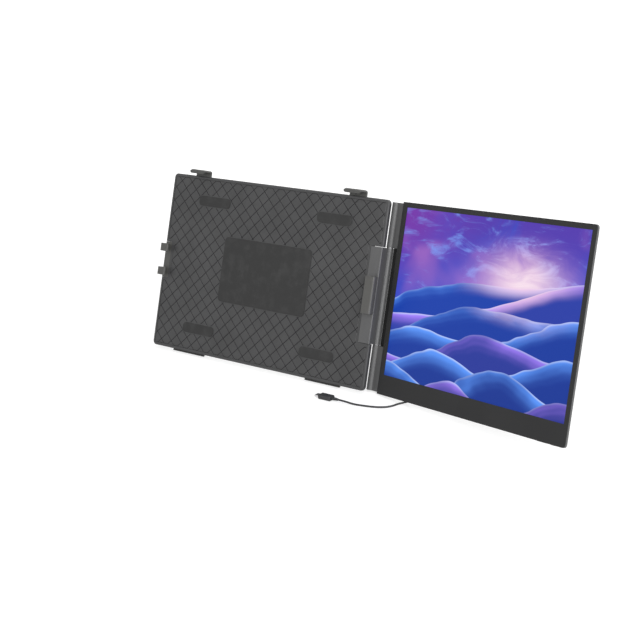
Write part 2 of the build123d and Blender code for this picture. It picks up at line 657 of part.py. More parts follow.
# ================================================================ left clip
CLIP_BLOCK_X = (-HALF_W, CLIP_NOTCH_X - BLOCK_GAP)
with BuildPart() as left_hook:
    slab(PLATE, CLIP_BLOCK_X, centred(CLIP_H), (BACK_N, FRONT_N))
    outer = left_hook.edges().filter_by(Axis.X, reverse=True).group_by(Axis.X)[0]
    fillet(outer.filter_by(Axis((0, 0, 0), PLATE.y_dir)), PLATE_EDGE_R)
    for side in (-1, 1):
        prong_y = centred(PRONG_H, about=side * PRONG_Y)
        with BuildSketch(across(PLATE, prong_y[0])) as profile:
            with BuildLine():
                Polyline(
                    (-PRONG_WALL_OUT, FRONT_N),
                    (-PRONG_WALL_OUT, LIP_N + LIP_T),
                    (-PRONG_TIP_X, LIP_N + LIP_T),
                    (-PRONG_TIP_X, LIP_N),
                    (-PRONG_WALL_IN, LIP_N),
                    (-PRONG_WALL_IN, FRONT_N),
                    close=True,
                )
            make_face()
            tips = profile.vertices().group_by(Axis.Y)[-1]
            fillet(tips, TIP_ROUND)
        extrude(profile.sketch, amount=-PRONG_H)
    slab(
        LEFT_SLIDE,
        (-CLIP_BLOCK_X[1] - SIDE_PIN_X, RAIL_HEAD),
        centred(RAIL_W),
        (RAIL_BACK, RAIL_FRONT),
        0,
        Mode.SUBTRACT,
    )
    seat = (RAIL_SCREW_X, 0)
    drum(LEFT_SLIDE, seat, SCREW_R + SCREW_GAP, (BACK_N, RAIL_FRONT + CUT), Mode.SUBTRACT)
    head = (BACK_N - CUT, BACK_N + SCREW_HEAD_T + HEAD_SINK)
    drum(LEFT_SLIDE, seat, SCREW_HEAD_R + HEAD_GAP, head, Mode.SUBTRACT)
left_hook.part.label = "left_hook"
export_step(left_hook.part, "parts/left_hook.step")

with BuildPart() as left_liner:
    for side in (-1, 1):
        prong_y = centred(PRONG_H, -LINER_INSET, side * PRONG_Y)
        slab(PLATE, (-PRONG_WALL_IN, -PRONG_TIP_X - LINER_INSET), prong_y, (LID_T, LIP_N))
left_liner.part.label = "left_liner"
export_step(left_liner.part, "parts/left_liner.step")

with BuildPart() as left_rail:
    rail(LEFT_SLIDE)
left_rail.part.label = "left_rail"
export_step(left_rail.part, "parts/left_rail.step")

with BuildPart() as left_rail_screw:
    countersunk(LEFT_SLIDE, (RAIL_SCREW_X, 0), BACK_N + HEAD_SINK, RAIL_FRONT)
left_rail_screw.part.label = "left_rail_screw"
export_step(left_rail_screw.part, "parts/left_rail_screw.step")


# ================================================================ top clips
def top_hook(slide):
    """The bar over the lid's top edge, its rounded front lip and its stem down into the plate."""
    base = moved(PLATE, PLATE.to_local_coords(slide.origin).X)
    bar_top = TOP_BAR_Y + TOP_BAR_T
    with BuildSketch(moved(sideways(base), n=-TOP_CLIP_W / 2)) as profile:
        with BuildLine():
            Polyline(
                (TOP_STEM_END, STEM_N[0]),
                (bar_top, STEM_N[0]),
                (bar_top, LIP_N + LIP_T),
                (TOP_LIP_Y, LIP_N + LIP_T),
                (TOP_LIP_Y, LIP_N),
                (TOP_BAR_Y, LIP_N),
                (TOP_BAR_Y, STEM_N[1]),
                (TOP_STEM_END, STEM_N[1]),
                close=True,
            )
        make_face()
        fillet(profile.vertices().sort_by_distance((bar_top, LIP_N + LIP_T))[0], BAR_ROUND)
        fillet(profile.vertices().sort_by_distance((TOP_LIP_Y, LIP_N + LIP_T))[0], TOP_LIP_ROUND)
        fillet(profile.vertices().sort_by_distance((bar_top, STEM_N[0]))[0], BAR_HEEL_R)
    extrude(profile.sketch, amount=TOP_CLIP_W)
    seat = (TOP_STEM_END - TOP_PIN_Y, RAIL_HEAD)
    slab(slide, seat, centred(RAIL_W), (RAIL_BACK, RAIL_FRONT), 0, Mode.SUBTRACT)
    drum(slide, (RAIL_SCREW_X, 0), SCREW_R + SCREW_GAP, STEM_N, Mode.SUBTRACT)


def top_liner(slide):
    """A rubber strip inside the lip."""
    base = moved(PLATE, PLATE.to_local_coords(slide.origin).X)
    height = (TOP_LIP_Y + TOP_LIP_GAP, TOP_BAR_Y)
    slab(base, centred(TOP_CLIP_W, -2 * LINER_INSET), height, (LID_T, LIP_N))


def top_rivet(slide):
    """The rivet that joins the stem to its rail."""
    drum(slide, (RAIL_SCREW_X, 0), SCREW_R, STEM_N)


with BuildPart() as top_hook_left:
    top_hook(TOP_SLIDES[0])
top_hook_left.part.label = "top_hook_left"
export_step(top_hook_left.part, "parts/top_hook_left.step")

with BuildPart() as top_liner_left:
    top_liner(TOP_SLIDES[0])
top_liner_left.part.label = "top_liner_left"
export_step(top_liner_left.part, "parts/top_liner_left.step")

with BuildPart() as top_rail_left:
    rail(TOP_SLIDES[0], TOP_RAIL_TAIL, TOP_RETRACT)
top_rail_left.part.label = "top_rail_left"
export_step(top_rail_left.part, "parts/top_rail_left.step")

with BuildPart() as top_rivet_left:
    top_rivet(TOP_SLIDES[0])
top_rivet_left.part.label = "top_rivet_left"
export_step(top_rivet_left.part, "parts/top_rivet_left.step")

with BuildPart() as top_hook_right:
    top_hook(TOP_SLIDES[1])
top_hook_right.part.label = "top_hook_right"
export_step(top_hook_right.part, "parts/top_hook_right.step")

with BuildPart() as top_liner_right:
    top_liner(TOP_SLIDES[1])
top_liner_right.part.label = "top_liner_right"
export_step(top_liner_right.part, "parts/top_liner_right.step")

with BuildPart() as top_rail_right:
    rail(TOP_SLIDES[1], TOP_RAIL_TAIL, TOP_RETRACT)
top_rail_right.part.label = "top_rail_right"
export_step(top_rail_right.part, "parts/top_rail_right.step")

with BuildPart() as top_rivet_right:
    top_rivet(TOP_SLIDES[1])
top_rivet_right.part.label = "top_rivet_right"
export_step(top_rivet_right.part, "parts/top_rivet_right.step")

# ================================================================ hinge housing
HOUSING_Y = (-HOUSING_H / 2, HOUSING_H / 2)
CAVITY_X = (HOUSING_IN, HOUSING_OUT - CAVITY_MARGIN)
CAVITY_N = (RAIL_BACK, HOUSING_FRONT - CAVITY_WALL)
KNUCKLE_SCREW = (RAIL_SCREW_X, 0)
SCREW_SEAT_N = RAIL_BACK - KNUCKLE_SEAT
with BuildPart() as hinge_housing:
    with BuildSketch(across(PLATE, HOUSING_Y[0])) as profile:
        with BuildLine():
            Polyline(
                (HOUSING_IN, HOUSING_BACK),
                (HOUSING_IN, HOUSING_FRONT),
                (HOUSING_OUT, HOUSING_FRONT),
                (HOUSING_OUT, AXIS_N),
                (AXIS_X - KNUCKLE_ARM, AXIS_N),
                (AXIS_X - KNUCKLE_ARM, HOUSING_BACK),
                close=True,
            )
        make_face()
        crook = profile.vertices().sort_by_distance((AXIS_X - KNUCKLE_ARM, HOUSING_BACK))[0]
        fillet(crook, ARM_FILLET)
        with Locations((AXIS_X, AXIS_N)):
            Circle(BARREL_R)
        corner = profile.vertices().sort_by_distance((HOUSING_OUT, HOUSING_FRONT))[0]
        fillet(corner, HOUSING_R)
    extrude(profile.sketch, amount=-HOUSING_H)
    slab(PLATE, CAVITY_X, span(*HOUSING_Y, -CAVITY_WALL), CAVITY_N, 0, Mode.SUBTRACT)
    plate_seat = (HOUSING_IN, HOUSING_IN + HOUSING_PLATE_T)
    plate_seat_n = span(*CAVITY_N, PLATE_LEDGE)
    slab(PLATE, plate_seat, span(*HOUSING_Y, -PLATE_LEDGE), plate_seat_n, 0, Mode.SUBTRACT)
    for side in (-1, 1):
        reach = (side * (SHAFT_START - STACK_GAP), side * (HOUSING_H / 2 + CUT))
        around_axis(SHAFT_R, reach, mode=Mode.SUBTRACT)
        wall = (HOUSING_FRONT - CAVITY_WALL - CUT, HOUSING_FRONT + CUT)
        drum(PLATE, (PEG_X, side * PEG_Y), PEG_R, wall, Mode.SUBTRACT)
    for slide in RIGHT_SLIDES:
        drum(slide, KNUCKLE_SCREW, SCREW_R + SCREW_GAP, (SCREW_SEAT_N, RAIL_BACK), Mode.SUBTRACT)
        drum(slide, KNUCKLE_SCREW, SCREW_HEAD_R + HEAD_GAP, (AXIS_N, SCREW_SEAT_N), Mode.SUBTRACT)
hinge_housing.part.label = "hinge_housing"
export_step(hinge_housing.part, "parts/hinge_housing.step")

with BuildPart() as housing_plate:
    height = span(*HOUSING_Y, -PLATE_LEDGE - SLIDE_GAP)
    slab(PLATE, plate_seat, height, span(*CAVITY_N, PLATE_LEDGE - SLIDE_GAP))
    for slide in RIGHT_SLIDES:
        reach = (HOUSING_IN - SIDE_PIN_X - CUT, RAIL_HEAD)
        level = (RAIL_BACK - CUT, RAIL_FRONT + STACK_GAP)
        slab(slide, reach, centred(RAIL_W, STACK_GAP), level, 0, Mode.SUBTRACT)
housing_plate.part.label = "housing_plate"
export_step(housing_plate.part, "parts/housing_plate.step")

with BuildPart() as right_rails:
    for slide in RIGHT_SLIDES:
        rail(slide)
right_rails.part.label = "right_rails"
export_step(right_rails.part, "parts/right_rails.step")

with BuildPart() as right_rail_screws:
    for slide in RIGHT_SLIDES:
        countersunk(slide, KNUCKLE_SCREW, SCREW_SEAT_N - SCREW_HEAD_T, RAIL_FRONT)
right_rail_screws.part.label = "right_rail_screws"
export_step(right_rail_screws.part, "parts/right_rail_screws.step")

with BuildPart() as right_hook:
    with BuildSketch(across(PLATE, -RIGHT_CLIP_H / 2)) as profile:
        with BuildLine():
            Polyline(
                (RIGHT_WALL_IN, HOUSING_FRONT),
                (RIGHT_WALL_IN, LIP_N),
                (RIGHT_TIP_X, LIP_N),
                (RIGHT_TIP_X, LIP_N + LIP_T),
                (RIGHT_WALL_OUT, LIP_N + LIP_T),
                (RIGHT_WALL_OUT, HOUSING_FRONT + RIGHT_SHOULDER),
                (HOUSING_OUT - HOUSING_R, HOUSING_FRONT),
                close=True,
            )
        make_face()
        fillet(profile.vertices().sort_by_distance((RIGHT_WALL_OUT, LIP_N + LIP_T))[0], RIGHT_ROUND)
        fillet(profile.vertices().sort_by_distance((RIGHT_TIP_X, LIP_N + LIP_T))[0], RIGHT_TIP_ROUND)
    extrude(profile.sketch, amount=-RIGHT_CLIP_H)
    for side in (-1, 1):
        depth = (HOUSING_FRONT - CAVITY_WALL + PEG_GAP, HOUSING_FRONT)
        drum(PLATE, (PEG_X, side * PEG_Y), PEG_R, depth)
right_hook.part.label = "right_hook"
export_step(right_hook.part, "parts/right_hook.step")

with BuildPart() as right_liner:
    lip_x = (RIGHT_TIP_X + LINER_INSET, RIGHT_WALL_IN)
    slab(PLATE, lip_x, centred(RIGHT_CLIP_H, -2 * LINER_INSET), (LID_T, LIP_N))
right_liner.part.label = "right_liner"
export_step(right_liner.part, "parts/right_liner.step")

# ================================================================ friction hinge
LEAF_STACK = LEAF_END + STACK_GAP
NUT_START = LEAF_STACK + SPRING_WASHER_T + STACK_GAP
with BuildPart() as hinge_shafts:
    for side in (-1, 1):
        around_axis(SHAFT_R, (side * SHAFT_START, side * SHAFT_END))
hinge_shafts.part.label = "hinge_shafts"
export_step(hinge_shafts.part, "parts/hinge_shafts.step")

with BuildPart() as thrust_washers:
    for side in (-1, 1):
        start = HOUSING_H / 2 + STACK_GAP
        around_axis(WASHER_R, (side * start, side * (start + WASHER_T)), SHAFT_R)
thrust_washers.part.label = "thrust_washers"
export_step(thrust_washers.part, "parts/thrust_washers.step")

with BuildPart() as spring_washers:
    for side in (-1, 1):
        around_axis(NUT_R, (side * LEAF_STACK, side * (LEAF_STACK + SPRING_WASHER_T)), SHAFT_R)
spring_washers.part.label = "spring_washers"
export_step(spring_washers.part, "parts/spring_washers.step")

with BuildPart() as shaft_nuts:
    for side in (-1, 1):
        around_axis(NUT_R, (side * NUT_START, side * (NUT_START + NUT_T)), SHAFT_R)
shaft_nuts.part.label = "shaft_nuts"
export_step(shaft_nuts.part, "parts/shaft_nuts.step")

LEAF_M = (-LEAF_T / 2, LEAF_T / 2)
LEAF_HOLES = [
    (LEAF_HOLE_X, LEAF_START + LEAF_HOLE_Y),
    (LEAF_HOLE_X, LEAF_END - LEAF_HOLE_Y),
    (LEAF_HOLE_X + LEAF_HOLE_STEP, (LEAF_START + LEAF_END) / 2),
]


def leaf_spots(side):
    return [(x, side * y) for x, y in LEAF_HOLES]


with BuildPart() as hinge_leaves:
    for side in (-1, 1):
        around_axis(LEAF_RING_R, (side * LEAF_START, side * LEAF_END))
        reach = sorted((side * LEAF_START, side * LEAF_END))
        slab(DISPLAY, (0, LEAF_REACH), reach, LEAF_M)
        bore = (side * (LEAF_START - CUT), side * (LEAF_END + CUT))
        around_axis(SHAFT_R + RUN_GAP, bore, mode=Mode.SUBTRACT)
        for spot in leaf_spots(side):
            drum(DISPLAY, spot, SCREW_R + SCREW_GAP, LEAF_M, Mode.SUBTRACT)
hinge_leaves.part.label = "hinge_leaves"
export_step(hinge_leaves.part, "parts/hinge_leaves.step")

with BuildPart() as leaf_screws:
    for side in (-1, 1):
        for spot in leaf_spots(side):
            countersunk(DISPLAY, spot, WEB_BACK + HEAD_SINK, LEAF_M[1])
leaf_screws.part.label = "leaf_screws"
export_step(leaf_screws.part, "parts/leaf_screws.step")

# ================================================================ display
HUMP_X = (HUMP_IN, HUMP_OUT)
HUMP_Y = (HUMP_LOW, HUMP_TOP)
BAY_X = (BAY_IN, HUMP_IN)
BUTTON_M = (EDGE_M + BEZEL_M) / 2
SOCKET_X = (HUMP_IN + SEAT_GAP, HUMP_IN + SEAT_GAP + SOCKET_D)
SOCKET_W = SHELL_W + 2 * (SOCKET_FIT + SOCKET_WALL)
SOCKET_T = SHELL_T + 2 * (SOCKET_FIT + SOCKET_WALL)
BUTTON_LEVEL = centred(BUTTON_T, about=BUTTON_M)
BOARD_POSTS = [
    (x, y)
    for x in (SOCKET_X[1] + POST_INSET, BOARD_X[1] - POST_INSET)
    for y in span(*BOARD_Y, -POST_INSET)
]


def display_outline(level):
    """The display's outline with square corners beside the hinge and rounded ones away from it."""
    height = 2 * HALF_DISPLAY
    width = DISPLAY_R - DISPLAY_EDGE
    with BuildSketch(moved(DISPLAY, (DISPLAY_R + DISPLAY_EDGE) / 2, 0, level)) as outline:
        Rectangle(width, height)
        fillet(outline.vertices().group_by(Axis.X)[-1], DISPLAY_CORNER)
    return outline.sketch


with BuildPart() as display_rear_cover:
    extrude(display_outline(REAR_M), amount=BEZEL_M - REAR_M)
    rear = display_rear_cover.faces().sort_by(Axis((0, 0, 0), DISPLAY.z_dir))[0]
    rim = [e for e in rear.edges() if DISPLAY.to_local_coords(e.center()).X > DISPLAY_EDGE + CUT]
    chamfer(rim, BEVEL)
    for side in (-1, 1):
        with BuildSketch(across(DISPLAY, side * BARREL_START)) as profile:
            Circle(BARREL_R)
            web = DISPLAY_EDGE + BLEND_LAP
            with Locations((web / 2, (WEB_FRONT + WEB_BACK) / 2)):
                Rectangle(web, WEB_FRONT - WEB_BACK)
            for level in (WEB_FRONT, WEB_BACK):
                reach = (BARREL_R**2 - level**2) ** 0.5
                crease = profile.vertices().sort_by_distance((reach, level))[0]
                fillet(crease, WEB_BLEND)
        extrude(profile.sketch, amount=side * (BARREL_START - BARREL_END))
    cove_x = (0, DISPLAY_EDGE + BLEND_LAP)
    slab(DISPLAY, cove_x, (-BARREL_START, BARREL_START), (WEB_BACK, COVE_FRONT))
    around_axis(BARREL_R + COVE_GAP, (-BARREL_START, BARREL_START), mode=Mode.SUBTRACT)
    with BuildPart(mode=Mode.PRIVATE) as hump:
        slab(DISPLAY, HUMP_X, HUMP_Y, (REAR_M + BLEND_LAP, HUMP_M), DISPLAY_CORNER)
        top = hump.faces().sort_by(Axis((0, 0, 0), DISPLAY.z_dir))[0]
        chamfer(top.edges(), HUMP_CHAMFER)
    add(hump.part)
    shallow = (DISPLAY_EDGE + DISPLAY_WALL, DISPLAY_R - DISPLAY_WALL)
    height = centred(DISPLAY_H, -DISPLAY_WALL)
    slab(DISPLAY, shallow, height, (EDGE_M, BEZEL_M), POCKET_CORNER, Mode.SUBTRACT)
    rim_wall = BEVEL + DISPLAY_SKIN
    deep = (DISPLAY_EDGE + DISPLAY_WALL, DISPLAY_R - rim_wall)
    deep_y = centred(DISPLAY_H, -rim_wall)
    slab(DISPLAY, deep, deep_y, (INNER_M, EDGE_M), POCKET_CORNER, Mode.SUBTRACT)
    hump_wall = HUMP_CHAMFER + SEAT_GAP
    hump_room = span(*HUMP_X, -hump_wall), span(*HUMP_Y, -hump_wall)
    level = (HUMP_INNER_M, INNER_M)
    slab(DISPLAY, hump_room[0], hump_room[1], level, POCKET_CORNER, Mode.SUBTRACT)
    bay_walls = (BAY_IN - BAY_WALL, HUMP_IN + BAY_WALL)
    bay_y = (-HALF_DISPLAY + DISPLAY_WALL / 2, BAY_TOP + BAY_WALL)
    slab(DISPLAY, bay_walls, bay_y, (REAR_M + BLEND_LAP, BAY_M + BAY_SKIN))
    mouth = (-HALF_DISPLAY - CUT, BAY_TOP)
    slab(DISPLAY, BAY_X, mouth, (HUMP_M - CUT, BAY_M), 0, Mode.SUBTRACT)
    port_x = (HUMP_IN - CUT, hump_room[0][0] + CUT)
    port_y = centred(SOCKET_W, PORT_GAP, PLUG_Y)
    port_m = centred(SOCKET_T, PORT_GAP, PLUG_M)
    slab(DISPLAY, port_x, port_y, port_m, 0, Mode.SUBTRACT)
    for spot in BOARD_POSTS:
        drum(DISPLAY, spot, BOARD_POST_R, (HUMP_INNER_M, HUMP_INNER_M + BOARD_LIFT))
    for x in SPEAKERS_X:
        for i in range(GRILLE_SLOTS):
            slot = x + (i - (GRILLE_SLOTS - 1) / 2) * GRILLE_PITCH
            skin = (HUMP_M - CUT, HUMP_INNER_M)
            height = centred(SPEAKER_H, -GRILLE_INSET, SPEAKER_Y)
            slab(DISPLAY, centred(GRILLE_W, about=slot), height, skin, 0, Mode.SUBTRACT)
    for x in COVER_SCREWS_X:
        spot = (x, COVER_SCREW_Y)
        drum(DISPLAY, spot, SCREW_R + SCREW_GAP, (REAR_M, INNER_M), Mode.SUBTRACT)
        head = (REAR_M - CUT, REAR_M + SCREW_HEAD_T + HEAD_SINK)
        drum(DISPLAY, spot, SCREW_HEAD_R + HEAD_GAP, head, Mode.SUBTRACT)
    for side in (-1, 1):
        bore = (side * (BARREL_START - CUT), side * (BARREL_END - CAP_T))
        around_axis(BARREL_BORE_R, bore, mode=Mode.SUBTRACT)
        mouth = (side * (BARREL_END - CAP_T), side * (BARREL_END + CUT))
        around_axis(CAP_R, mouth, mode=Mode.SUBTRACT)
        slot = sorted((side * (LEAF_START - LEAF_GAP), side * (LEAF_END + LEAF_GAP)))
        level = span(*LEAF_M, LEAF_GAP)
        slab(DISPLAY, (0, LEAF_REACH + LEAF_GAP), slot, level, 0, Mode.SUBTRACT)
        for spot in leaf_spots(side):
            drum(DISPLAY, spot, SCREW_R + SCREW_GAP, (WEB_BACK, 0), Mode.SUBTRACT)
            head = (WEB_BACK - CUT, WEB_BACK + SCREW_HEAD_T + HEAD_SINK)
            drum(DISPLAY, spot, SCREW_HEAD_R + HEAD_GAP, head, Mode.SUBTRACT)
    opening = (-HALF_DISPLAY - CUT, -HALF_DISPLAY + DISPLAY_WALL + CUT)
    for centre, width, gap in ((BUTTON_X, BUTTON_W, BUTTON_GAP), (ROCKER_X, ROCKER_W, ROCKER_GAP)):
        hole = centred(width, gap, centre)
        slab(DISPLAY, hole, opening, span(*BUTTON_LEVEL, BUTTON_GAP), 0, Mode.SUBTRACT)
display_rear_cover.part.label = "display_rear_cover"
export_step(display_rear_cover.part, "parts/display_rear_cover.step")

with BuildPart() as display_bezel:
    extrude(display_outline(BEZEL_M), amount=BEZEL_T)
    window = (BEZEL_M, GLASS_M)
    slab(DISPLAY, (ACTIVE_L, ACTIVE_R), (ACTIVE_B, ACTIVE_TOP), window, 0, Mode.SUBTRACT)
    for x in COVER_SCREWS_X:
        drum(DISPLAY, (x, COVER_SCREW_Y), BOSS_R, (INNER_M, BEZEL_M))
        hole = (INNER_M, BEZEL_M)
        drum(DISPLAY, (x, COVER_SCREW_Y), SCREW_R + SCREW_GAP, hole, Mode.SUBTRACT)
display_bezel.part.label = "display_bezel"
export_step(display_bezel.part, "parts/display_bezel.step")

LCD_X = span(ACTIVE_L, ACTIVE_R, LCD_BORDER)
LCD_Y = (ACTIVE_B - LCD_FOOT, ACTIVE_TOP + LCD_BORDER)
with BuildPart() as lcd_panel:
    slab(DISPLAY, LCD_X, LCD_Y, (GUIDE_M, LCD_M))
lcd_panel.part.label = "lcd_panel"
export_step(lcd_panel.part, "parts/lcd_panel.step")

with BuildPart() as light_guide:
    slab(DISPLAY, LCD_X, LCD_Y, (TRAY_M, GUIDE_M))
light_guide.part.label = "light_guide"
export_step(light_guide.part, "parts/light_guide.step")

with BuildPart() as panel_tray:
    tray_y = (LCD_Y[0] - TRAY_RIM, LCD_Y[1] + TRAY_RIM)
    slab(DISPLAY, span(*LCD_X, TRAY_RIM), tray_y, (TRAY_M - TRAY_T, GUIDE_M))
    slab(DISPLAY, LCD_X, LCD_Y, (TRAY_M, GUIDE_M), 0, Mode.SUBTRACT)
panel_tray.part.label = "panel_tray"
export_step(panel_tray.part, "parts/panel_tray.step")

with BuildPart() as barrel_caps:
    for side in (-1, 1):
        around_axis(CAP_R, (side * (BARREL_END - CAP_T), side * BARREL_END))
barrel_caps.part.label = "barrel_caps"
export_step(barrel_caps.part, "parts/barrel_caps.step")

with BuildPart() as display_screws:
    for x in COVER_SCREWS_X:
        countersunk(DISPLAY, (x, COVER_SCREW_Y), REAR_M + HEAD_SINK, BEZEL_M - TIP_GAP)
display_screws.part.label = "display_screws"
export_step(display_screws.part, "parts/display_screws.step")

BUMPER_RIGHT = DISPLAY_R - BUMPER_INSET - BUMPER_R
BUMPER_Y = HALF_DISPLAY - BUMPER_INSET
BUMPERS = [(BUMPER_LEFT, BUMPER_Y), (BUMPER_RIGHT, BUMPER_Y), (BUMPER_RIGHT, -BUMPER_Y)]
with BuildPart() as display_bumpers:
    for spot in BUMPERS:
        drum(DISPLAY, spot, BUMPER_R, (REAR_M - BUMPER_T, REAR_M))
display_bumpers.part.label = "display_bumpers"
export_step(display_bumpers.part, "parts/display_bumpers.step")

# ================================================================ electronics
BOARD_M = (HUMP_INNER_M + BOARD_LIFT, HUMP_INNER_M + BOARD_LIFT + BOARD_T)
with BuildPart() as driver_board:
    slab(DISPLAY, BOARD_X, BOARD_Y, BOARD_M)
    cutout = (BOARD_X[0] - CUT, SOCKET_X[1] + STACK_GAP)
    slab(DISPLAY, cutout, centred(SOCKET_W, STACK_GAP, PLUG_Y), BOARD_M, 0, Mode.SUBTRACT)
    for x, y, size in CHIPS:
        chip = centred(size, about=x), centred(size, about=y)
        slab(DISPLAY, chip[0], chip[1], (BOARD_M[0] - CHIP_T, BOARD_M[0]))
driver_board.part.label = "driver_board"
export_step(driver_board.part, "parts/driver_board.step")

with BuildPart() as usb_c_socket:
    slab(DISPLAY, SOCKET_X, centred(SOCKET_W, 0, PLUG_Y), centred(SOCKET_T, 0, PLUG_M))
    cavity = (SOCKET_X[0], SOCKET_X[1] - SOCKET_BACK)
    cavity_y = centred(SHELL_W, SOCKET_FIT, PLUG_Y)
    slab(DISPLAY, cavity, cavity_y, centred(SHELL_T, SOCKET_FIT, PLUG_M), 0, Mode.SUBTRACT)
    tongue = (SOCKET_X[0] + TONGUE_INSET, SOCKET_X[1] - SOCKET_BACK)
    tongue_y = centred(SHELL_W, -TONGUE_INSET, PLUG_Y)
    slab(DISPLAY, tongue, tongue_y, centred(TONGUE_T, 0, PLUG_M))
usb_c_socket.part.label = "usb_c_socket"
export_step(usb_c_socket.part, "parts/usb_c_socket.step")

with BuildPart() as speakers:
    level = (HUMP_INNER_M, HUMP_INNER_M + SPEAKER_T)
    for x in SPEAKERS_X:
        size = centred(SPEAKER_W, about=x), centred(SPEAKER_H, about=SPEAKER_Y)
        slab(DISPLAY, size[0], size[1], level, GRILLE_INSET)
speakers.part.label = "speakers"
export_step(speakers.part, "parts/speakers.step")

WALL_IN = -HALF_DISPLAY + DISPLAY_WALL
SWITCH_Y = WALL_IN + BUTTON_GAP + FLANGE_T + 2 * BUTTON_TRAVEL + BUTTON_GAP
with BuildPart() as button_board:
    strip = (ROCKER_X - ROCKER_W / 2 - SWITCH_H, BUTTON_X + BUTTON_W / 2 + SWITCH_H)
    slab(DISPLAY, strip, (SWITCH_Y, SWITCH_Y + BUTTON_BOARD_H), (EDGE_M, EDGE_M + BOARD_T))
    switches = (ROCKER_X - ROCKER_W / 3, ROCKER_X + ROCKER_W / 3, BUTTON_X)
    for x in switches:
        switch = (SWITCH_Y, SWITCH_Y + SWITCH_H)
        slab(DISPLAY, centred(SWITCH_W, about=x), switch, (EDGE_M, BUTTON_LEVEL[1]))
button_board.part.label = "button_board"
export_step(button_board.part, "parts/button_board.step")

# ================================================================ buttons under the lower edge
with BuildPart() as power_button:
    flange = (WALL_IN + BUTTON_GAP, WALL_IN + BUTTON_GAP + FLANGE_T)
    cap_y = (-HALF_DISPLAY - BUTTON_OUT, flange[0])
    slab(DISPLAY, centred(BUTTON_W, about=BUTTON_X), cap_y, BUTTON_LEVEL)
    slab(DISPLAY, centred(BUTTON_W, FLANGE_LIP, BUTTON_X), flange, BUTTON_LEVEL)
power_button.part.label = "power_button"
export_step(power_button.part, "parts/power_button.step")

with BuildPart() as menu_rocker:
    start = WALL_IN + BUTTON_GAP + ROCKER_SETBACK
    cap_y = (-HALF_DISPLAY - BUTTON_OUT, start)
    slab(DISPLAY, centred(ROCKER_W, about=ROCKER_X), cap_y, BUTTON_LEVEL)
    flange = (start, start + FLANGE_T)
    slab(DISPLAY, centred(ROCKER_W, FLANGE_LIP, ROCKER_X), flange, BUTTON_LEVEL)
menu_rocker.part.label = "menu_rocker"
export_step(menu_rocker.part, "parts/menu_rocker.step")

# ================================================================ cord and its plugs
# Each plug has a plane of its own: x from its mating face back towards the cord, z its thickness.
PLUG_HEIGHT = FLOOR_Z + PLUG_T / 2
LAPTOP_PLUG = Plane(
    origin=(LAPTOP_PLUG_X, LAPTOP_PLUG_Y, PLUG_HEIGHT), x_dir=(1, 0, 0), z_dir=(0, 0, 1)
)
DISPLAY_PLUG = Plane(
    origin=DISPLAY.from_local_coords((HUMP_IN - SEAT_GAP, PLUG_Y, PLUG_M)),
    x_dir=-DISPLAY.x_dir,
    z_dir=DISPLAY.z_dir,
)


def plug_body(base):
    """A moulded grip with rounded long edges, and its tapered strain relief."""
    slab(base, (0, PLUG_LEN), centred(PLUG_W), centred(PLUG_T))
    moulding = BuildPart._get_context()
    fillet(moulding.edges().filter_by(Axis((0, 0, 0), base.x_dir)), PLUG_ROUND)
    with BuildSketch(moved(sideways(base, PLUG_LEN))) as wide:
        Circle(BOOT_R)
    with BuildSketch(moved(sideways(base, PLUG_LEN + BOOT_LEN))) as narrow:
        Circle(CORD_R + BOOT_WALL)
    loft([wide.sketch, narrow.sketch])


def plug_shell(base):
    """The metal sleeve that enters the socket, open at its tip."""
    ring = SHELL_T * 0.49
    tip = sideways(base, -SHELL_LEN)
    slab(tip, centred(SHELL_W), centred(SHELL_T), (0, SHELL_LEN), ring)
    bore = centred(SHELL_W, -SOCKET_WALL), centred(SHELL_T, -SOCKET_WALL)
    depth = (0, SHELL_LEN - SOCKET_WALL)
    slab(tip, bore[0], bore[1], depth, ring - SOCKET_WALL, Mode.SUBTRACT)


with BuildPart() as laptop_plug:
    plug_body(LAPTOP_PLUG)
laptop_plug.part.label = "laptop_plug"
export_step(laptop_plug.part, "parts/laptop_plug.step")

with BuildPart() as laptop_plug_shell:
    plug_shell(LAPTOP_PLUG)
laptop_plug_shell.part.label = "laptop_plug_shell"
export_step(laptop_plug_shell.part, "parts/laptop_plug_shell.step")

with BuildPart() as display_plug:
    plug_body(DISPLAY_PLUG)
display_plug.part.label = "display_plug"
export_step(display_plug.part, "parts/display_plug.step")

with BuildPart() as display_plug_shell:
    plug_shell(DISPLAY_PLUG)
display_plug_shell.part.label = "display_plug_shell"
export_step(display_plug_shell.part, "parts/display_plug_shell.step")

BOOT_END = PLUG_LEN + BOOT_LEN
route = [LAPTOP_PLUG.from_local_coords((BOOT_END, 0, 0))]
route += [Vector(*point) for point in CORD_ROUTE]
route += [DISPLAY_PLUG.from_local_coords((BOOT_END + run, 0, 0)) for run in (CORD_LEAD, 0)]
runs = [b - a for a, b in zip(route, route[1:])]
radii = [
    0.45 * min(a.length, b.length) / tan(radians(a.get_angle(b) / 2))
    for a, b in zip(runs, runs[1:])
]
with BuildPart() as usb_cable:
    with BuildLine() as lay:
        FilletPolyline(*route, radius=radii)
    with BuildSketch(Plane(origin=route[0], z_dir=runs[0])):
        Circle(CORD_R)
    sweep()
print("cord radii", [round(radius, 1) for radius in radii])
lay_length = sum(edge.length for edge in lay.edges())
solid_length = usb_cable.part.volume / (pi * CORD_R**2)
print("cord length", round(lay_length, 2), "from its volume", round(solid_length, 2))
print("cord points", [tuple(round(value, 2) for value in point) for point in route])
usb_cable.part.label = "usb_cable"
export_step(usb_cable.part, "parts/usb_cable.step")
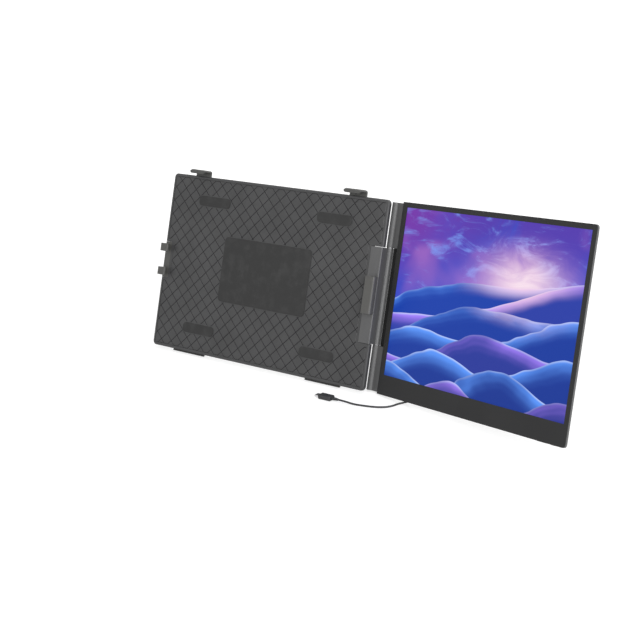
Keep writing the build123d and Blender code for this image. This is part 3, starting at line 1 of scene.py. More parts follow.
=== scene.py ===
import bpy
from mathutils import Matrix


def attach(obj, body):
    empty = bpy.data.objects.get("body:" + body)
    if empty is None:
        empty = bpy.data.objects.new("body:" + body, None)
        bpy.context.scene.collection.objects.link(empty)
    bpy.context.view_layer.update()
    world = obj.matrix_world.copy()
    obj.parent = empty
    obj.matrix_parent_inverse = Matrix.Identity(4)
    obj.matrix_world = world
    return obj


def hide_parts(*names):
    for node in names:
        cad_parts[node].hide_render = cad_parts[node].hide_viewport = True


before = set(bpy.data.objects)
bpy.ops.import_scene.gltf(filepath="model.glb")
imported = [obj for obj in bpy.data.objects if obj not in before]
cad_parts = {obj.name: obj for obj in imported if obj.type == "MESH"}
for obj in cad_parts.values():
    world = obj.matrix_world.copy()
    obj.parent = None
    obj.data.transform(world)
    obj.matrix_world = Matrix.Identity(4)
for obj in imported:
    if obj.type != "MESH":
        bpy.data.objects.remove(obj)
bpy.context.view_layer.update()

import math
import bmesh
import bpy
from mathutils import Matrix, Vector

scene = bpy.context.scene
scene.view_settings.view_transform = "Standard"


# ---------------------------------------------------------------- camera
# The viewer stands to the right of the laptop's user and a little above, and the picture leans a
# few degrees, so that the display's side dips.
camera = bpy.data.objects.new("camera", bpy.data.cameras.new("camera"))
scene.collection.objects.link(camera)
camera.data.lens = 89.98
camera.data.sensor_width = 36.0
camera.data.clip_end = 50.0
camera.location = (1.45688, -1.48613, 0.63937)
camera.rotation_euler = [math.radians(angle) for angle in (71.0747, 5.1813, 40.7083)]
scene.camera = camera


# ---------------------------------------------------------------- free cord
# A short soft USB cable. It leaves the strain relief of the plug in the display's cable bay, drops
# to the table and runs to the plug for the laptop's side.
cord_diameter = 0.0025
cord_points = [
    (184.0, -76.3, -118.3),
    (194.0, -76.3, -118.3),
    (208.0, -75.4, -120.05),
    (222.0, -73.4, -120.05),
    (235.0, -70.9, -120.05),
    (246.5, -66.6, -120.05),
    (253.2, -61.4, -120.05),
    (256.9, -54.9, -120.05),
    (258.1, -48.6, -120.05),
    (261.1, -42.9, -120.05),
    (266.6, -40.2, -118.6),
    (273.2, -41.1, -115.2),
    (279.0, -42.4, -108.9),
    (283.89, -43.36, -104.47),
    (290.41, -45.17, -103.81),
]
cord_curve = bpy.data.curves.new("cable_jacket", "CURVE")
cord_curve.dimensions = "3D"
cord_line = cord_curve.splines.new("NURBS")
cord_line.points.add(len(cord_points) - 1)
for point, place in zip(cord_line.points, cord_points):
    point.co = [value / 1000 for value in place] + [1.0]
cord_line.order_u = 3
cord_line.use_endpoint_u = True
cord_curve.resolution_u = 10
cord_curve.bevel_depth = cord_diameter / 2
cord_curve.bevel_resolution = 5
cord_curve.use_fill_caps = True
cable = bpy.data.objects.new("cable_jacket", cord_curve)
scene.collection.objects.link(cable)


class Shade:
    """One value in a material, such as a mask or a height. Arithmetic on it adds Math nodes."""

    def __init__(self, tree, socket=None):
        self.tree = tree
        self.socket = socket

    def node(self, kind, settings=None, inputs=None, output=0):
        made = self.tree.nodes.new(kind)
        for name, value in (settings or {}).items():
            if name == "stops":
                ramp = made.color_ramp
                while len(ramp.elements) < len(value):
                    ramp.elements.new(0.5)
                for stop, (place, colour) in zip(ramp.elements, value):
                    stop.position = place
                    stop.color = (*colour, 1.0)
            else:
                setattr(made, name, value)
        for name, value in (inputs or {}).items():
            if isinstance(value, Shade):
                self.tree.links.new(value.socket, made.inputs[name])
            else:
                made.inputs[name].default_value = value
        return Shade(self.tree, made.outputs[output])

    def maths(self, operation, *values):
        inputs = {index: value for index, value in enumerate(values)}
        return self.node("ShaderNodeMath", {"operation": operation}, inputs)

    def __add__(self, other):
        return self.maths("ADD", self, other)

    __radd__ = __add__

    def __sub__(self, other):
        return self.maths("SUBTRACT", self, other)

    def __rsub__(self, other):
        return self.maths("SUBTRACT", other, self)

    def __mul__(self, other):
        return self.maths("MULTIPLY", self, other)

    __rmul__ = __mul__

    def __truediv__(self, other):
        return self.maths("DIVIDE", self, other)

    def __pow__(self, other):
        return self.maths("POWER", self, other)

    def sine(self):
        return self.maths("SINE", self)

    def step(self, low, high):
        """0 below low, 1 above high, and a smooth rise between them."""
        settings = {"interpolation_type": "SMOOTHSTEP"}
        return self.node("ShaderNodeMapRange", settings, {0: self, 1: low, 2: high})

    def along(self, axis):
        """How far a point lies along a direction."""
        settings = {"operation": "DOT_PRODUCT"}
        return self.node("ShaderNodeVectorMath", settings, {0: self, 1: axis}, 1)

    def stretched(self, scale, turn=(0, 0, 0)):
        inputs = {"Vector": self, "Rotation": turn, "Scale": scale}
        return self.node("ShaderNodeMapping", {}, inputs)

    def noise(self, scale, detail=2.0, roughness=0.5, distortion=0.0):
        sizes = {"Vector": self, "Scale": scale, "Detail": detail}
        sizes.update({"Roughness": roughness, "Distortion": distortion})
        return self.node("ShaderNodeTexNoise", {}, sizes)

    def mix(self, first, second):
        """The first colour where this mask is 0, the second where it is 1."""
        colours = {6: first, 7: second}
        for index, colour in list(colours.items()):
            if not isinstance(colour, Shade):
                colours[index] = (*colour, 1.0)
        return self.node("ShaderNodeMix", {"data_type": "RGBA"}, {0: self, **colours}, 2)


def new_material(name):
    """A plain Principled material, its shader's sockets and its Object coordinates."""
    material = bpy.data.materials.new(name)
    material.use_nodes = True
    tree = material.node_tree
    shader = next(node for node in tree.nodes if node.type == "BSDF_PRINCIPLED")
    places = Shade(tree).node("ShaderNodeTexCoord", {}, {}, 3)
    return material, shader.inputs, places


def feed(sockets, **values):
    """Set the shader's sockets, given with underscores for spaces, to values or links."""
    for name, value in values.items():
        target = sockets[name.replace("_", " ")]
        if isinstance(value, Shade):
            value.tree.links.new(value.socket, target)
        else:
            target.default_value = value


def bumped(places, height, depth):
    """A normal raised by a height from 0 to 1, over a depth in metres."""
    inputs = {"Strength": 1.0, "Distance": depth, "Height": height}
    return places.node("ShaderNodeBump", {}, inputs)


cable_finish, sockets, places = new_material("cable_jacket")
pores = places.noise(5200.0, 2.0)
streaks = places.stretched((40.0, 40.0, 160.0)).noise(1.0, 3.0)
feed(sockets, Base_Color=streaks.step(0.3, 0.8).mix((0.012, 0.012, 0.013), (0.022, 0.022, 0.024)))
feed(sockets, Roughness=0.42 + 0.12 * pores, Normal=bumped(places, pores, 0.00002))
cord_curve.materials.append(cable_finish)


# ---------------------------------------------------------------- the two planes of the object
# The plate leans back as an opened lid does. The display hangs on the hinge axis and is turned
# towards the user from flush with it.
lean = math.radians(20.0)
swing = math.radians(16.5)
hinge_x, hinge_n = 195.5, -17.0
across_plate = Vector((1, 0, 0))
up = Vector((0, math.sin(lean), math.cos(lean)))
out_of_plate = Vector((0, -math.cos(lean), math.sin(lean)))
across_display = math.cos(swing) * across_plate + math.sin(swing) * out_of_plate
out_of_display = -math.sin(swing) * across_plate + math.cos(swing) * out_of_plate
hinge = (hinge_x * across_plate + hinge_n * out_of_plate) / 1000
plate_space = Matrix.Identity(4)
display_space = Matrix.Translation(hinge)
for space, axes in (
    (plate_space, (across_plate, up, out_of_plate)),
    (display_space, (across_display, up, out_of_display)),
):
    for column, axis in enumerate(axes):
        for row in range(3):
            space[row][column] = axis[row]


# ---------------------------------------------------------------- cable plugs
# Each plug is a soft black moulding over a metal shell: a flat grip with finger ribs, and a short
# tapered strain relief with rings cut in it, which the cable leaves by.
plug_length, plug_width, plug_height = 20.0, 11.0, 6.0
boot_length, boot_start, boot_end = 10.0, 2.4, 1.6
grip_ribs, first_rib, rib_pitch = 6, 7.0, 1.5
boot_rings, boot_ring_pitch = 5, 1.75
square_corners, round_corners = 5.0, 2.0


def plug_moulding(name, space):
    """A plug along its own X axis: rings of points, each a squared or a round oval, joined up."""
    rings = []
    for along, shrink in ((0.0, 0.7), (0.25, 0.3), (0.8, 0.0)):
        rings.append((along, plug_width / 2 - shrink, plug_height / 2 - shrink, square_corners))
    for rib in range(grip_ribs):
        start = first_rib + rib * rib_pitch
        for along, dent in ((0.0, 0.0), (0.2, 0.28), (0.75, 0.28), (0.95, 0.0)):
            width, height = plug_width / 2 - dent / 2, plug_height / 2 - dent
            rings.append((start + along, width, height, square_corners))
    for along, shrink in ((18.6, 0.0), (19.6, 0.35), (20.0, 0.9), (20.02, 2.0)):
        width, height = plug_width / 2 - shrink, plug_height / 2 - min(shrink, 0.9)
        rings.append((along, width, height, square_corners))
    rings.append((20.04, boot_start, boot_start, round_corners))
    for ring in range(boot_rings):
        start = plug_length + 0.9 + ring * boot_ring_pitch
        for along, dent in ((0.0, 0.0), (0.15, 0.35), (0.75, 0.35), (0.9, 0.0)):
            taper = (start + along - plug_length) / boot_length
            radius = boot_start + (boot_end - boot_start) * taper - dent
            rings.append((start + along, radius, radius, round_corners))
    rings.append((29.7, boot_end, boot_end, round_corners))
    rings.append((30.0, boot_end - 0.25, boot_end - 0.25, round_corners))
    sides = 48
    points, faces = [], []
    for along, width, height, square in rings:
        for step in range(sides):
            turn = 2 * math.pi * step / sides
            sideways, upward = (
                math.copysign(abs(value) ** (2 / square), value)
                for value in (math.cos(turn), math.sin(turn))
            )
            points.append(space @ Vector((along, width * sideways, height * upward)))
    for ring in range(len(rings) - 1):
        for step in range(sides):
            first, second = ring * sides + step, ring * sides + (step + 1) % sides
            faces.append((first, second, second + sides, first + sides))
    faces.append(tuple(reversed(range(sides))))
    faces.append(tuple(range((len(rings) - 1) * sides, len(rings) * sides)))
    mesh = bpy.data.meshes.new(name)
    mesh.from_pydata([tuple(point / 1000) for point in points], [], faces)
    piece = bpy.data.objects.new(name, mesh)
    scene.collection.objects.link(piece)
    tidy(piece, 50)
    return piece


def tidy(piece, angle):
    """Turn the faces outwards and shade the piece smooth up to an angle in degrees."""
    shape = bmesh.new()
    shape.from_mesh(piece.data)
    bmesh.ops.recalc_face_normals(shape, faces=shape.faces)
    shape.to_mesh(piece.data)
    shape.free()
    for face in piece.data.polygons:
        face.use_smooth = True
    piece.data.set_sharp_from_angle(angle=math.radians(angle))


plug_finish, sockets, places = new_material("plug_moulding")
grain = places.noise(3000.0, 3.0)
feed(sockets, Base_Color=grain.step(0.35, 0.7).mix((0.014, 0.014, 0.015), (0.024, 0.024, 0.026)))
feed(sockets, Roughness=0.5 + 0.14 * places.noise(140.0), Normal=bumped(places, grain, 0.00003))
laptop_space = Matrix.Translation((154.0, -76.3, -118.3))
socket_across, socket_up, socket_out = 127.8, -113.0, -4.0
socket_centre = 1000 * hinge + socket_across * across_display
socket_centre = socket_centre + socket_up * up + socket_out * out_of_display
socket_space = display_space.copy()
socket_space.translation = socket_centre
socket_space = socket_space @ Matrix.Rotation(math.pi, 4, "Y")
laptop_grip = plug_moulding("laptop_plug_grip", laptop_space)
display_grip = plug_moulding("display_plug_grip", socket_space)
for grip, node in ((laptop_grip, "laptop_plug"), (display_grip, "display_plug")):
    grip.data.materials.append(plug_finish)
    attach(grip, "display")
    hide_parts(node)

plated_finish, sockets, places = new_material("connector_metal")
scratches = places.stretched((90.0, 900.0, 900.0)).noise(1.0, 4.0)
feed(sockets, Base_Color=scratches.mix((0.52, 0.52, 0.53), (0.66, 0.66, 0.67)), Metallic=1.0)
feed(sockets, Roughness=0.2 + 0.16 * scratches)


def dress(material, *nodes):
    """Give the solids of these nodes a material."""
    for node in nodes:
        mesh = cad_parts[node].data
        mesh.materials.clear()
        mesh.materials.append(material)


dress(plated_finish, "laptop_plug_shell", "display_plug_shell", "usb_c_socket")
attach(cable, "display")
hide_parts("usb_cable")


# ---------------------------------------------------------------- back plate covers
# Two injection-moulded covers in grey ABS. The front one has a field of crossing grooves inside a
# smooth border, with smooth seats for the rubber pads; the rear one has a fine spark-eroded grain.
def moulded(name, colour, roughness, grain_depth=0.00003, mottle=0.12, gloss=0.35):
    """Satin moulded plastic: fine grain, a faint cloudiness, and rubbed patches that shine more."""
    material, sockets, places = new_material(name)
    sockets["Specular IOR Level"].default_value = gloss
    grain = places.noise(2600.0, 3.0, 0.6)
    clouds = places.noise(22.0, 4.0, 0.55)
    rubbed = places.stretched((1.0, 1.0, 0.45)).noise(9.0, 5.0, 0.6).step(0.45, 0.75)
    pale = tuple(value * (1 + mottle) for value in colour)
    dark = tuple(value * (1 - mottle) for value in colour)
    feed(sockets, Base_Color=(0.6 * clouds + 0.4 * grain).step(0.3, 0.7).mix(dark, pale))
    feed(sockets, Roughness=roughness - 0.07 * rubbed + 0.08 * grain)
    feed(sockets, Normal=bumped(places, grain, grain_depth))
    return material


cover_finish = moulded("textured_shell", (0.052, 0.052, 0.053), 0.46)
field_finish = moulded("grooved_field", (0.050, 0.050, 0.051), 0.44, 0.00004, 0.16)
# The groove floors are coloured far darker than the field: painted shade in the grooves.
groove_shade_finish = moulded("groove_floor_painted_shade", (0.014, 0.014, 0.015), 0.7, 0.00006, 0.16, 0.2)
rear_finish = moulded("rear_plastic", (0.040, 0.040, 0.042), 0.5, 0.00005)
dress(cover_finish, "front_cover")
dress(rear_finish, "rear_shell")

field_floor, field_top, groove_half, groove_slope = -1.19, -0.84, 0.65, 0.45
lattice_x, lattice_y = 20.0, 19.0
sheet_thickness, crown_inset, crown_rise = 0.5, 0.2, 0.02
plate_half_width, plate_half_height, border = 196.5, 124.0, 4.0
notches = ((178.0 - border, 63.0 + border, 1), (184.0 - border, 25.8 + border, -1))


def grooved_field():
    """A sheet of lozenges between crossing grooves, kept out of the two notches in the sides."""
    shape = bmesh.new()
    columns = int(plate_half_width / lattice_x) + 2
    rows = int(plate_half_height / lattice_y) + 2
    corner = {}
    for column in range(-2 * columns, 2 * columns + 1):
        for row in range(-2 * rows, 2 * rows + 1):
            if (column + row) % 2 == 0:
                place = (column * lattice_x / 2, row * lattice_y / 2, field_floor)
                corner[column, row] = shape.verts.new(place)
    for column in range(-2 * columns, 2 * columns):
        for row in range(-2 * rows, 2 * rows):
            around = [(column, row), (column + 1, row - 1)]
            around += [(column + 2, row), (column + 1, row + 1)]
            if all(key in corner for key in around):
                shape.faces.new([corner[key] for key in around])
    width, height = plate_half_width - border, plate_half_height - border
    cuts = [((width, 0, 0), (1, 0, 0), True), ((-width, 0, 0), (-1, 0, 0), True)]
    cuts += [((0, height, 0), (0, 1, 0), True), ((0, -height, 0), (0, -1, 0), True)]
    for inner, reach, side in notches:
        cuts.append(((side * inner, 0, 0), (side, 0, 0), False))
        cuts += [((0, edge * reach, 0), (0, 1, 0), False) for edge in (-1, 1)]
    for place, normal, clear in cuts:
        geometry = shape.verts[:] + shape.edges[:] + shape.faces[:]
        bmesh.ops.bisect_plane(
            shape, geom=geometry, dist=1e-5, plane_co=place, plane_no=normal, clear_outer=clear
        )
    gone = []
    for face in shape.faces:
        middle = face.calc_center_median()
        for inner, reach, side in notches:
            if side * middle.x > inner and abs(middle.y) < reach:
                gone.append(face)
    bmesh.ops.delete(shape, geom=gone, context="FACES")
    seams = []
    for edge in shape.edges:
        (ax, ay, _), (bx, by, _) = edge.verts[0].co, edge.verts[1].co
        straight = abs(ax - bx) < 1e-4 or abs(ay - by) < 1e-4
        if straight and len(edge.link_faces) == 2:
            seams.append(edge)
    bmesh.ops.dissolve_edges(shape, edges=seams, use_verts=True, use_face_split=False)
    whole = bmesh.ops.extrude_face_region(shape, geom=shape.faces[:])
    tops = [item for item in whole["geom"] if isinstance(item, bmesh.types.BMFace)]
    for face in shape.faces:
        face.tag = False
    lower = [vertex for vertex in shape.verts if vertex not in {v for f in tops for v in f.verts}]
    for vertex in lower:
        vertex.co.z -= sheet_thickness
    for thickness, rise in ((groove_half, 0.0), (groove_slope, field_top - field_floor)):
        bmesh.ops.inset_individual(shape, faces=tops, thickness=thickness, depth=0.0)
        for vertex in {v for f in tops for v in f.verts}:
            vertex.co.z += rise
    bmesh.ops.inset_individual(shape, faces=tops, thickness=crown_inset, depth=0.0)
    for vertex in {v for f in tops for v in f.verts}:
        vertex.co.z += crown_rise
    # The extrusion adds its side faces in an order that changes from run to run.
    shape.verts.index_update()
    ranked = sorted(shape.faces, key=lambda face: sorted(vertex.index for vertex in face.verts))
    for rank, face in enumerate(ranked):
        face.index = rank
    shape.faces.sort()
    mesh = bpy.data.meshes.new("grooved_field")
    shape.to_mesh(mesh)
    shape.free()
    mesh.transform(Matrix.Scale(0.001, 4))
    mesh.transform(plate_space)
    piece = bpy.data.objects.new("grooved_field", mesh)
    scene.collection.objects.link(piece)
    tidy(piece, 25)
    return piece


field = grooved_field()
field.data.materials.append(field_finish)
field.data.materials.append(groove_shade_finish)
# Faces at the groove floor take the second, darker colour, which is painted shade.
for face in field.data.polygons:
    depth = 1000 * max(field.data.vertices[index].co.dot(out_of_plate) for index in face.vertices)
    face.material_index = 1 if depth < field_floor + 0.01 else 0
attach(field, "plate")


# ---------------------------------------------------------------- pieces with softened edges
# Hooks, feet, pads and levers come out of their moulds with small radii on every edge. Each is
# the solid's own shape with its edges rounded.
def softened(node, body, slot, material, width, angle=32.0, segments=3, reshape=None):
    """Take a node's place with its own shape, its edges rounded by a width in millimetres."""
    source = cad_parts[node]
    shape = bmesh.new()
    shape.from_mesh(source.data)
    bmesh.ops.remove_doubles(shape, verts=shape.verts, dist=2e-6)
    bmesh.ops.dissolve_limit(
        shape, angle_limit=math.radians(0.5), verts=shape.verts, edges=shape.edges
    )
    if reshape:
        reshape(shape)
    mesh = bpy.data.meshes.new(node + "_piece")
    shape.to_mesh(mesh)
    shape.free()
    for face in mesh.polygons:
        face.use_smooth = True
    mesh.set_sharp_from_angle(angle=math.radians(angle))
    piece = bpy.data.objects.new(node + "_piece", mesh)
    scene.collection.objects.link(piece)
    rounding = piece.modifiers.new("rounding", "BEVEL")
    rounding.limit_method = "ANGLE"
    rounding.angle_limit = math.radians(angle)
    rounding.width = width / 1000
    rounding.segments = segments
    rounding.harden_normals = True
    graph = bpy.context.evaluated_depsgraph_get()
    finished = bpy.data.meshes.new_from_object(piece.evaluated_get(graph))
    piece.modifiers.clear()
    piece.data = finished
    finished.materials.clear()
    finished.materials.append(material)
    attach(piece, body)
    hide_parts(node)
    return piece


lip_low, bar_top = 126.7, 132.5
end_turns, end_flat = (0, 20, 40, 55, 70, 80), 0.3


def pill_ends(shape):
    """Round off both ends of the bar that passes over the lid's top edge."""
    radius, level = (bar_top - lip_low) / 2, (bar_top + lip_low) / 2
    spread = [1000 * vertex.co.x for vertex in shape.verts]
    centre, straight = (max(spread) + min(spread)) / 2, (max(spread) - min(spread)) / 2 - radius
    for side in (-1, 1):
        for turn in end_turns:
            cut = centre + side * (straight + radius * math.sin(math.radians(turn)))
            geometry = shape.verts[:] + shape.edges[:] + shape.faces[:]
            bmesh.ops.bisect_plane(
                shape, geom=geometry, dist=1e-7, plane_co=(cut / 1000, 0, 0), plane_no=(1, 0, 0)
            )
    for vertex in shape.verts:
        height = 1000 * vertex.co.dot(up)
        past = (abs(1000 * vertex.co.x - centre) - straight) / radius
        if past > 0 and height > lip_low - 0.01:
            shrink = max(math.sqrt(max(1 - past * past, 0)), end_flat)
            vertex.co += up * (level - height) * (1 - shrink) / 1000


def rubber(name, colour, nap_scale, nap_depth):
    """Matt rubber with a fine pebbled skin and a bloom that greys it in places."""
    material, sockets, places = new_material(name)
    pebbles = places.node("ShaderNodeTexVoronoi", {}, {"Vector": places, "Scale": nap_scale})
    bloom = places.noise(60.0, 5.0, 0.6).step(0.42, 0.72)
    grey = tuple(value * 1.5 for value in colour)
    feed(sockets, Base_Color=(bloom * 0.6).mix(colour, grey))
    feed(sockets, Roughness=0.82 - 0.1 * bloom, Normal=bumped(places, pebbles, nap_depth))
    return material


hook_finish = moulded("hook_plastic", (0.078, 0.077, 0.073), 0.42)
clip_finish = moulded("clip_plastic", (0.062, 0.062, 0.059), 0.36, gloss=0.4)
pad_finish = rubber("pad_rubber", (0.018, 0.018, 0.018), 1400.0, 0.00008)
liner_finish = rubber("liner_rubber", (0.014, 0.014, 0.014), 2600.0, 0.00004)
softened("left_hook", "left_clip", "housing_plastic", hook_finish, 1.1)
softened("right_hook", "carrier", "housing_plastic", hook_finish, 0.7)
for side in ("left", "right"):
    names = ("top_hook_" + side, "top_clip_" + side)
    softened(*names, "housing_plastic", clip_finish, 0.5, segments=2, reshape=pill_ends)
dress(liner_finish, "left_liner", "top_liner_left", "top_liner_right", "right_liner")
for node in ("lid_pad", "corner_pads"):
    softened(node, "plate", "rubber", pad_finish, 0.35)
softened("bottom_feet", "plate", "rubber", pad_finish, 0.8)
softened("display_bumpers", "display", "rubber", pad_finish, 0.5)


# ---------------------------------------------------------------- kickstand
# A flat moulded leg that folds into the back of the plate, with a rubber foot let into its end
# and steel pins at its corners.
leg_finish = moulded("kickstand_plastic", (0.050, 0.050, 0.052), 0.44)
softened("kickstand_leg", "kickstand", "rear_plastic", leg_finish, 0.4)
softened("kickstand_foot", "kickstand", "rubber", pad_finish, 0.25)


# ---------------------------------------------------------------- hinge housing and barrels
# The housing and the display's two barrels are painted satin grey, and both run with the length of
# the hinge, so the paint shows faint streaks along it.
def painted(name, dark, pale, roughness, stretch):
    """Satin paint with faint streaks along the hinge: the material, its sockets, places, colour."""
    material, sockets, places = new_material(name)
    grain = places.noise(2400.0, 3.0, 0.6)
    flow = places.stretched(stretch, (-lean, 0, 0)).noise(1.0, 4.0, 0.6)
    colour = (0.7 * flow + 0.3 * grain).step(0.3, 0.7).mix(dark, pale)
    feed(sockets, Base_Color=colour, Roughness=roughness + 0.08 * flow + 0.06 * grain)
    feed(sockets, Normal=bumped(places, grain, 0.00002))
    return material, sockets, places, colour


knuckle_finish, *_ = painted(
    "housing_plastic", (0.074, 0.074, 0.075), (0.086, 0.086, 0.087), 0.34, (160.0, 60.0, 6.0)
)
softened("hinge_housing", "carrier", "housing_plastic", knuckle_finish, 0.35, 50.0)
dress(knuckle_finish, "housing_plate", "barrel_caps")


# ---------------------------------------------------------------- steel inside and between
# Rails, sleeves, shafts and leaves are stamped or turned steel, brushed along their length. Only
# the washers' rims and the ends of the slides are seen.
def steel(name, pale, dark, roughness, brushed):
    """Metal with fine lines, stretched as brushed, and smudges that dull it in places."""
    material, sockets, places = new_material(name)
    lines = places.stretched(brushed).noise(1.0, 4.0, 0.7)
    smudges = places.noise(70.0, 4.0)
    feed(sockets, Base_Color=lines.mix(dark, pale), Metallic=1.0)
    feed(sockets, Roughness=roughness + 0.12 * lines + 0.1 * smudges)
    feed(sockets, Normal=bumped(places, lines, 0.00001))
    return material


along_rail, along_shaft = (60.0, 2400.0, 2400.0), (900.0, 900.0, 60.0)
rail_finish = steel("rail_steel", (0.56, 0.56, 0.57), (0.40, 0.40, 0.41), 0.26, along_rail)
turned_finish = steel("turned_steel", (0.72, 0.72, 0.73), (0.55, 0.55, 0.56), 0.18, along_shaft)
washer_finish = steel("washer_steel", (0.30, 0.30, 0.31), (0.20, 0.20, 0.21), 0.42, along_shaft)
dress(rail_finish, "slide_sleeves", "drag_springs", "left_rail", "right_rails", "hinge_leaves")
dress(rail_finish, "top_rail_left", "top_rail_right", "top_rivet_left", "top_rivet_right")
dress(turned_finish, "stop_pins", "kickstand_pins", "hinge_shafts", "shaft_nuts")
dress(washer_finish, "thrust_washers", "spring_washers")


# ---------------------------------------------------------------- screws
# Blackened countersunk screws with a cross recess hold the covers, the leaves and the rails.
def screw_tree():
    """Geometry nodes that put a screw on each point, its head's face at the point."""
    tree = bpy.data.node_groups.new("screw_set", "GeometryNodeTree")
    face = tree.interface
    face.new_socket("Geometry", in_out="INPUT", socket_type="NodeSocketGeometry")
    for name, value in (
        ("Head Radius", 0.0019),
        ("Head Height", 0.0008),
        ("Shank Radius", 0.001),
        ("Shank Length", 0.004),
        ("Recess Width", 0.00045),
        ("Recess Length", 0.0023),
    ):
        face.new_socket(name, in_out="INPUT", socket_type="NodeSocketFloat").default_value = value
    face.new_socket("Finish", in_out="INPUT", socket_type="NodeSocketMaterial")
    face.new_socket("Geometry", in_out="OUTPUT", socket_type="NodeSocketGeometry")

    def put(kind, settings=None, inputs=None):
        made = tree.nodes.new(kind)
        for name, value in (settings or {}).items():
            setattr(made, name, value)
        for name, value in (inputs or {}).items():
            if isinstance(value, bpy.types.NodeSocket):
                tree.links.new(value, made.inputs[name])
            else:
                made.inputs[name].default_value = value
        return made

    def place(x, y, z):
        return put("ShaderNodeCombineXYZ", {}, {0: x, 1: y, 2: z}).outputs[0]

    def maths(operation, first, second):
        return put("ShaderNodeMath", {"operation": operation}, {0: first, 1: second}).outputs[0]

    def moved(mesh, height):
        inputs = {"Geometry": mesh, "Translation": place(0.0, 0.0, height)}
        return put("GeometryNodeTransform", {}, inputs).outputs[0]

    given = put("NodeGroupInput").outputs
    head = put(
        "GeometryNodeMeshCone",
        {},
        {
            "Vertices": 32,
            "Radius Top": maths("MULTIPLY", given["Shank Radius"], 1.1),
            "Radius Bottom": given["Head Radius"],
            "Depth": given["Head Height"],
        },
    ).outputs["Mesh"]
    shank = put(
        "GeometryNodeMeshCylinder",
        {},
        {"Vertices": 20, "Radius": given["Shank Radius"], "Depth": given["Shank Length"]},
    ).outputs["Mesh"]
    middle = maths("ADD", given["Head Height"], maths("MULTIPLY", given["Shank Length"], 0.499))
    shank = moved(shank, middle)
    drop = maths("MULTIPLY", given["Head Height"], -0.12)
    recess = []
    for size in (
        place(given["Recess Length"], given["Recess Width"], given["Head Height"]),
        place(given["Recess Width"], given["Recess Length"], given["Head Height"]),
    ):
        recess.append(moved(put("GeometryNodeMeshCube", {}, {"Size": size}).outputs["Mesh"], drop))
    carved = put("GeometryNodeMeshBoolean", {"operation": "DIFFERENCE"}, {"Mesh 1": head})
    for bar in recess:
        tree.links.new(bar, carved.inputs["Mesh 2"])
    joined = put("GeometryNodeJoinGeometry")
    tree.links.new(carved.outputs["Mesh"], joined.inputs[0])
    tree.links.new(shank, joined.inputs[0])
    points = put("GeometryNodeMeshToPoints", {}, {"Mesh": given["Geometry"]}).outputs[0]
    spread = put(
        "GeometryNodeInstanceOnPoints", {}, {"Points": points, "Instance": joined.outputs[0]}
    ).outputs[0]
    real = put("GeometryNodeRealizeInstances", {}, {"Geometry": spread}).outputs[0]
    done = put("GeometryNodeSetMaterial", {}, {"Geometry": real, "Material": given["Finish"]})
    tree.links.new(done.outputs[0], put("NodeGroupOutput").inputs[0])
    return tree


screws = screw_tree()
unbrushed = (700.0, 700.0, 700.0)
screw_finish = steel("screw_steel", (0.20, 0.20, 0.21), (0.10, 0.10, 0.105), 0.3, unbrushed)


def screw_set(node, body, space, spots, head_level, shank_length):
    """Screws at spots of a plane, in millimetres, with their heads facing its back."""
    mesh = bpy.data.meshes.new(node + "_set")
    mesh.from_pydata([(x / 1000, y / 1000, head_level / 1000) for x, y in spots], [], [])
    piece = bpy.data.objects.new(node + "_set", mesh)
    scene.collection.objects.link(piece)
    live = piece.modifiers.new("screws", "NODES")
    live.node_group = screws
    items = [item for item in screws.interface.items_tree if item.in_out == "INPUT"]
    named = {item.name: item.identifier for item in items}
    live[named["Shank Length"]] = shank_length / 1000
    live[named["Finish"]] = screw_finish
    graph = bpy.context.evaluated_depsgraph_get()
    finished = bpy.data.meshes.new_from_object(piece.evaluated_get(graph))
    piece.modifiers.clear()
    piece.data = finished
    finished.transform(space)
    tidy(piece, 30)
    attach(piece, body)
    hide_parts(node)


plate_head, housing_head, leaf_head, shell_head = -7.1, -8.95, -3.4, -4.3
cover_spots = [(x, y) for x in (-187.0, -92.0, 92.0, 187.0) for y in (-115.0, 115.0)]
rail_spots = [(186.0, y) for y in (-30.0, 30.0)]
leaf_spots = [(8.0, 78.0), (8.0, 102.0), (14.0, 90.0)]
leaf_spots += [(x, -y) for x, y in leaf_spots]
shell_spots = [(45.0, -113.0), (315.0, -113.0)]
screw_set("cover_screws", "plate", plate_space, cover_spots, plate_head, 3.3)
screw_set("left_rail_screw", "left_clip", plate_space, [(-186.0, 0.0)], plate_head, 2.65)
screw_set("right_rail_screws", "carrier", plate_space, rail_spots, housing_head, 4.5)
screw_set("leaf_screws", "display", display_space, leaf_spots, leaf_head, 3.2)
screw_set("display_screws", "display", display_space, shell_spots, shell_head, 4.5)


# ---------------------------------------------------------------- display shell
# A thin painted rear cover with a raised electronics housing, and a glued bezel frame in flat
# dark grey round the panel. The cover's recess beside the hinge housing is coloured near-black,
# which is painted shade.
bezel_finish = moulded("bezel_plastic", (0.021, 0.021, 0.0215), 0.6, 0.00003, 0.05, 0.2)
shell_finish, sockets, places, satin = painted(
    "display_shell", (0.094, 0.094, 0.095), (0.108, 0.108, 0.109), 0.33, (90.0, 60.0, 8.0)
)
sockets["Specular IOR Level"].default_value = 0.35
recess_reach, recess_half_height, recess_edge = 0.0178, 0.0635, 0.0003
from_axis = places.along(across_display) - hinge.dot(across_display)
beside = places.along(up) - hinge.dot(up)
near_axis = 1 - from_axis.step(recess_reach, recess_reach + recess_edge)
level_with_housing = 1 - (beside * beside).step(
    recess_half_height**2, (recess_half_height + recess_edge) ** 2
)
recess = near_axis * level_with_housing
# Painted shade: inside the recess the cover's colour is near-black.
feed(sockets, Base_Color=recess.mix(satin, (0.010, 0.010, 0.010)))
dress(bezel_finish, "display_bezel")
dress(shell_finish, "display_rear_cover")


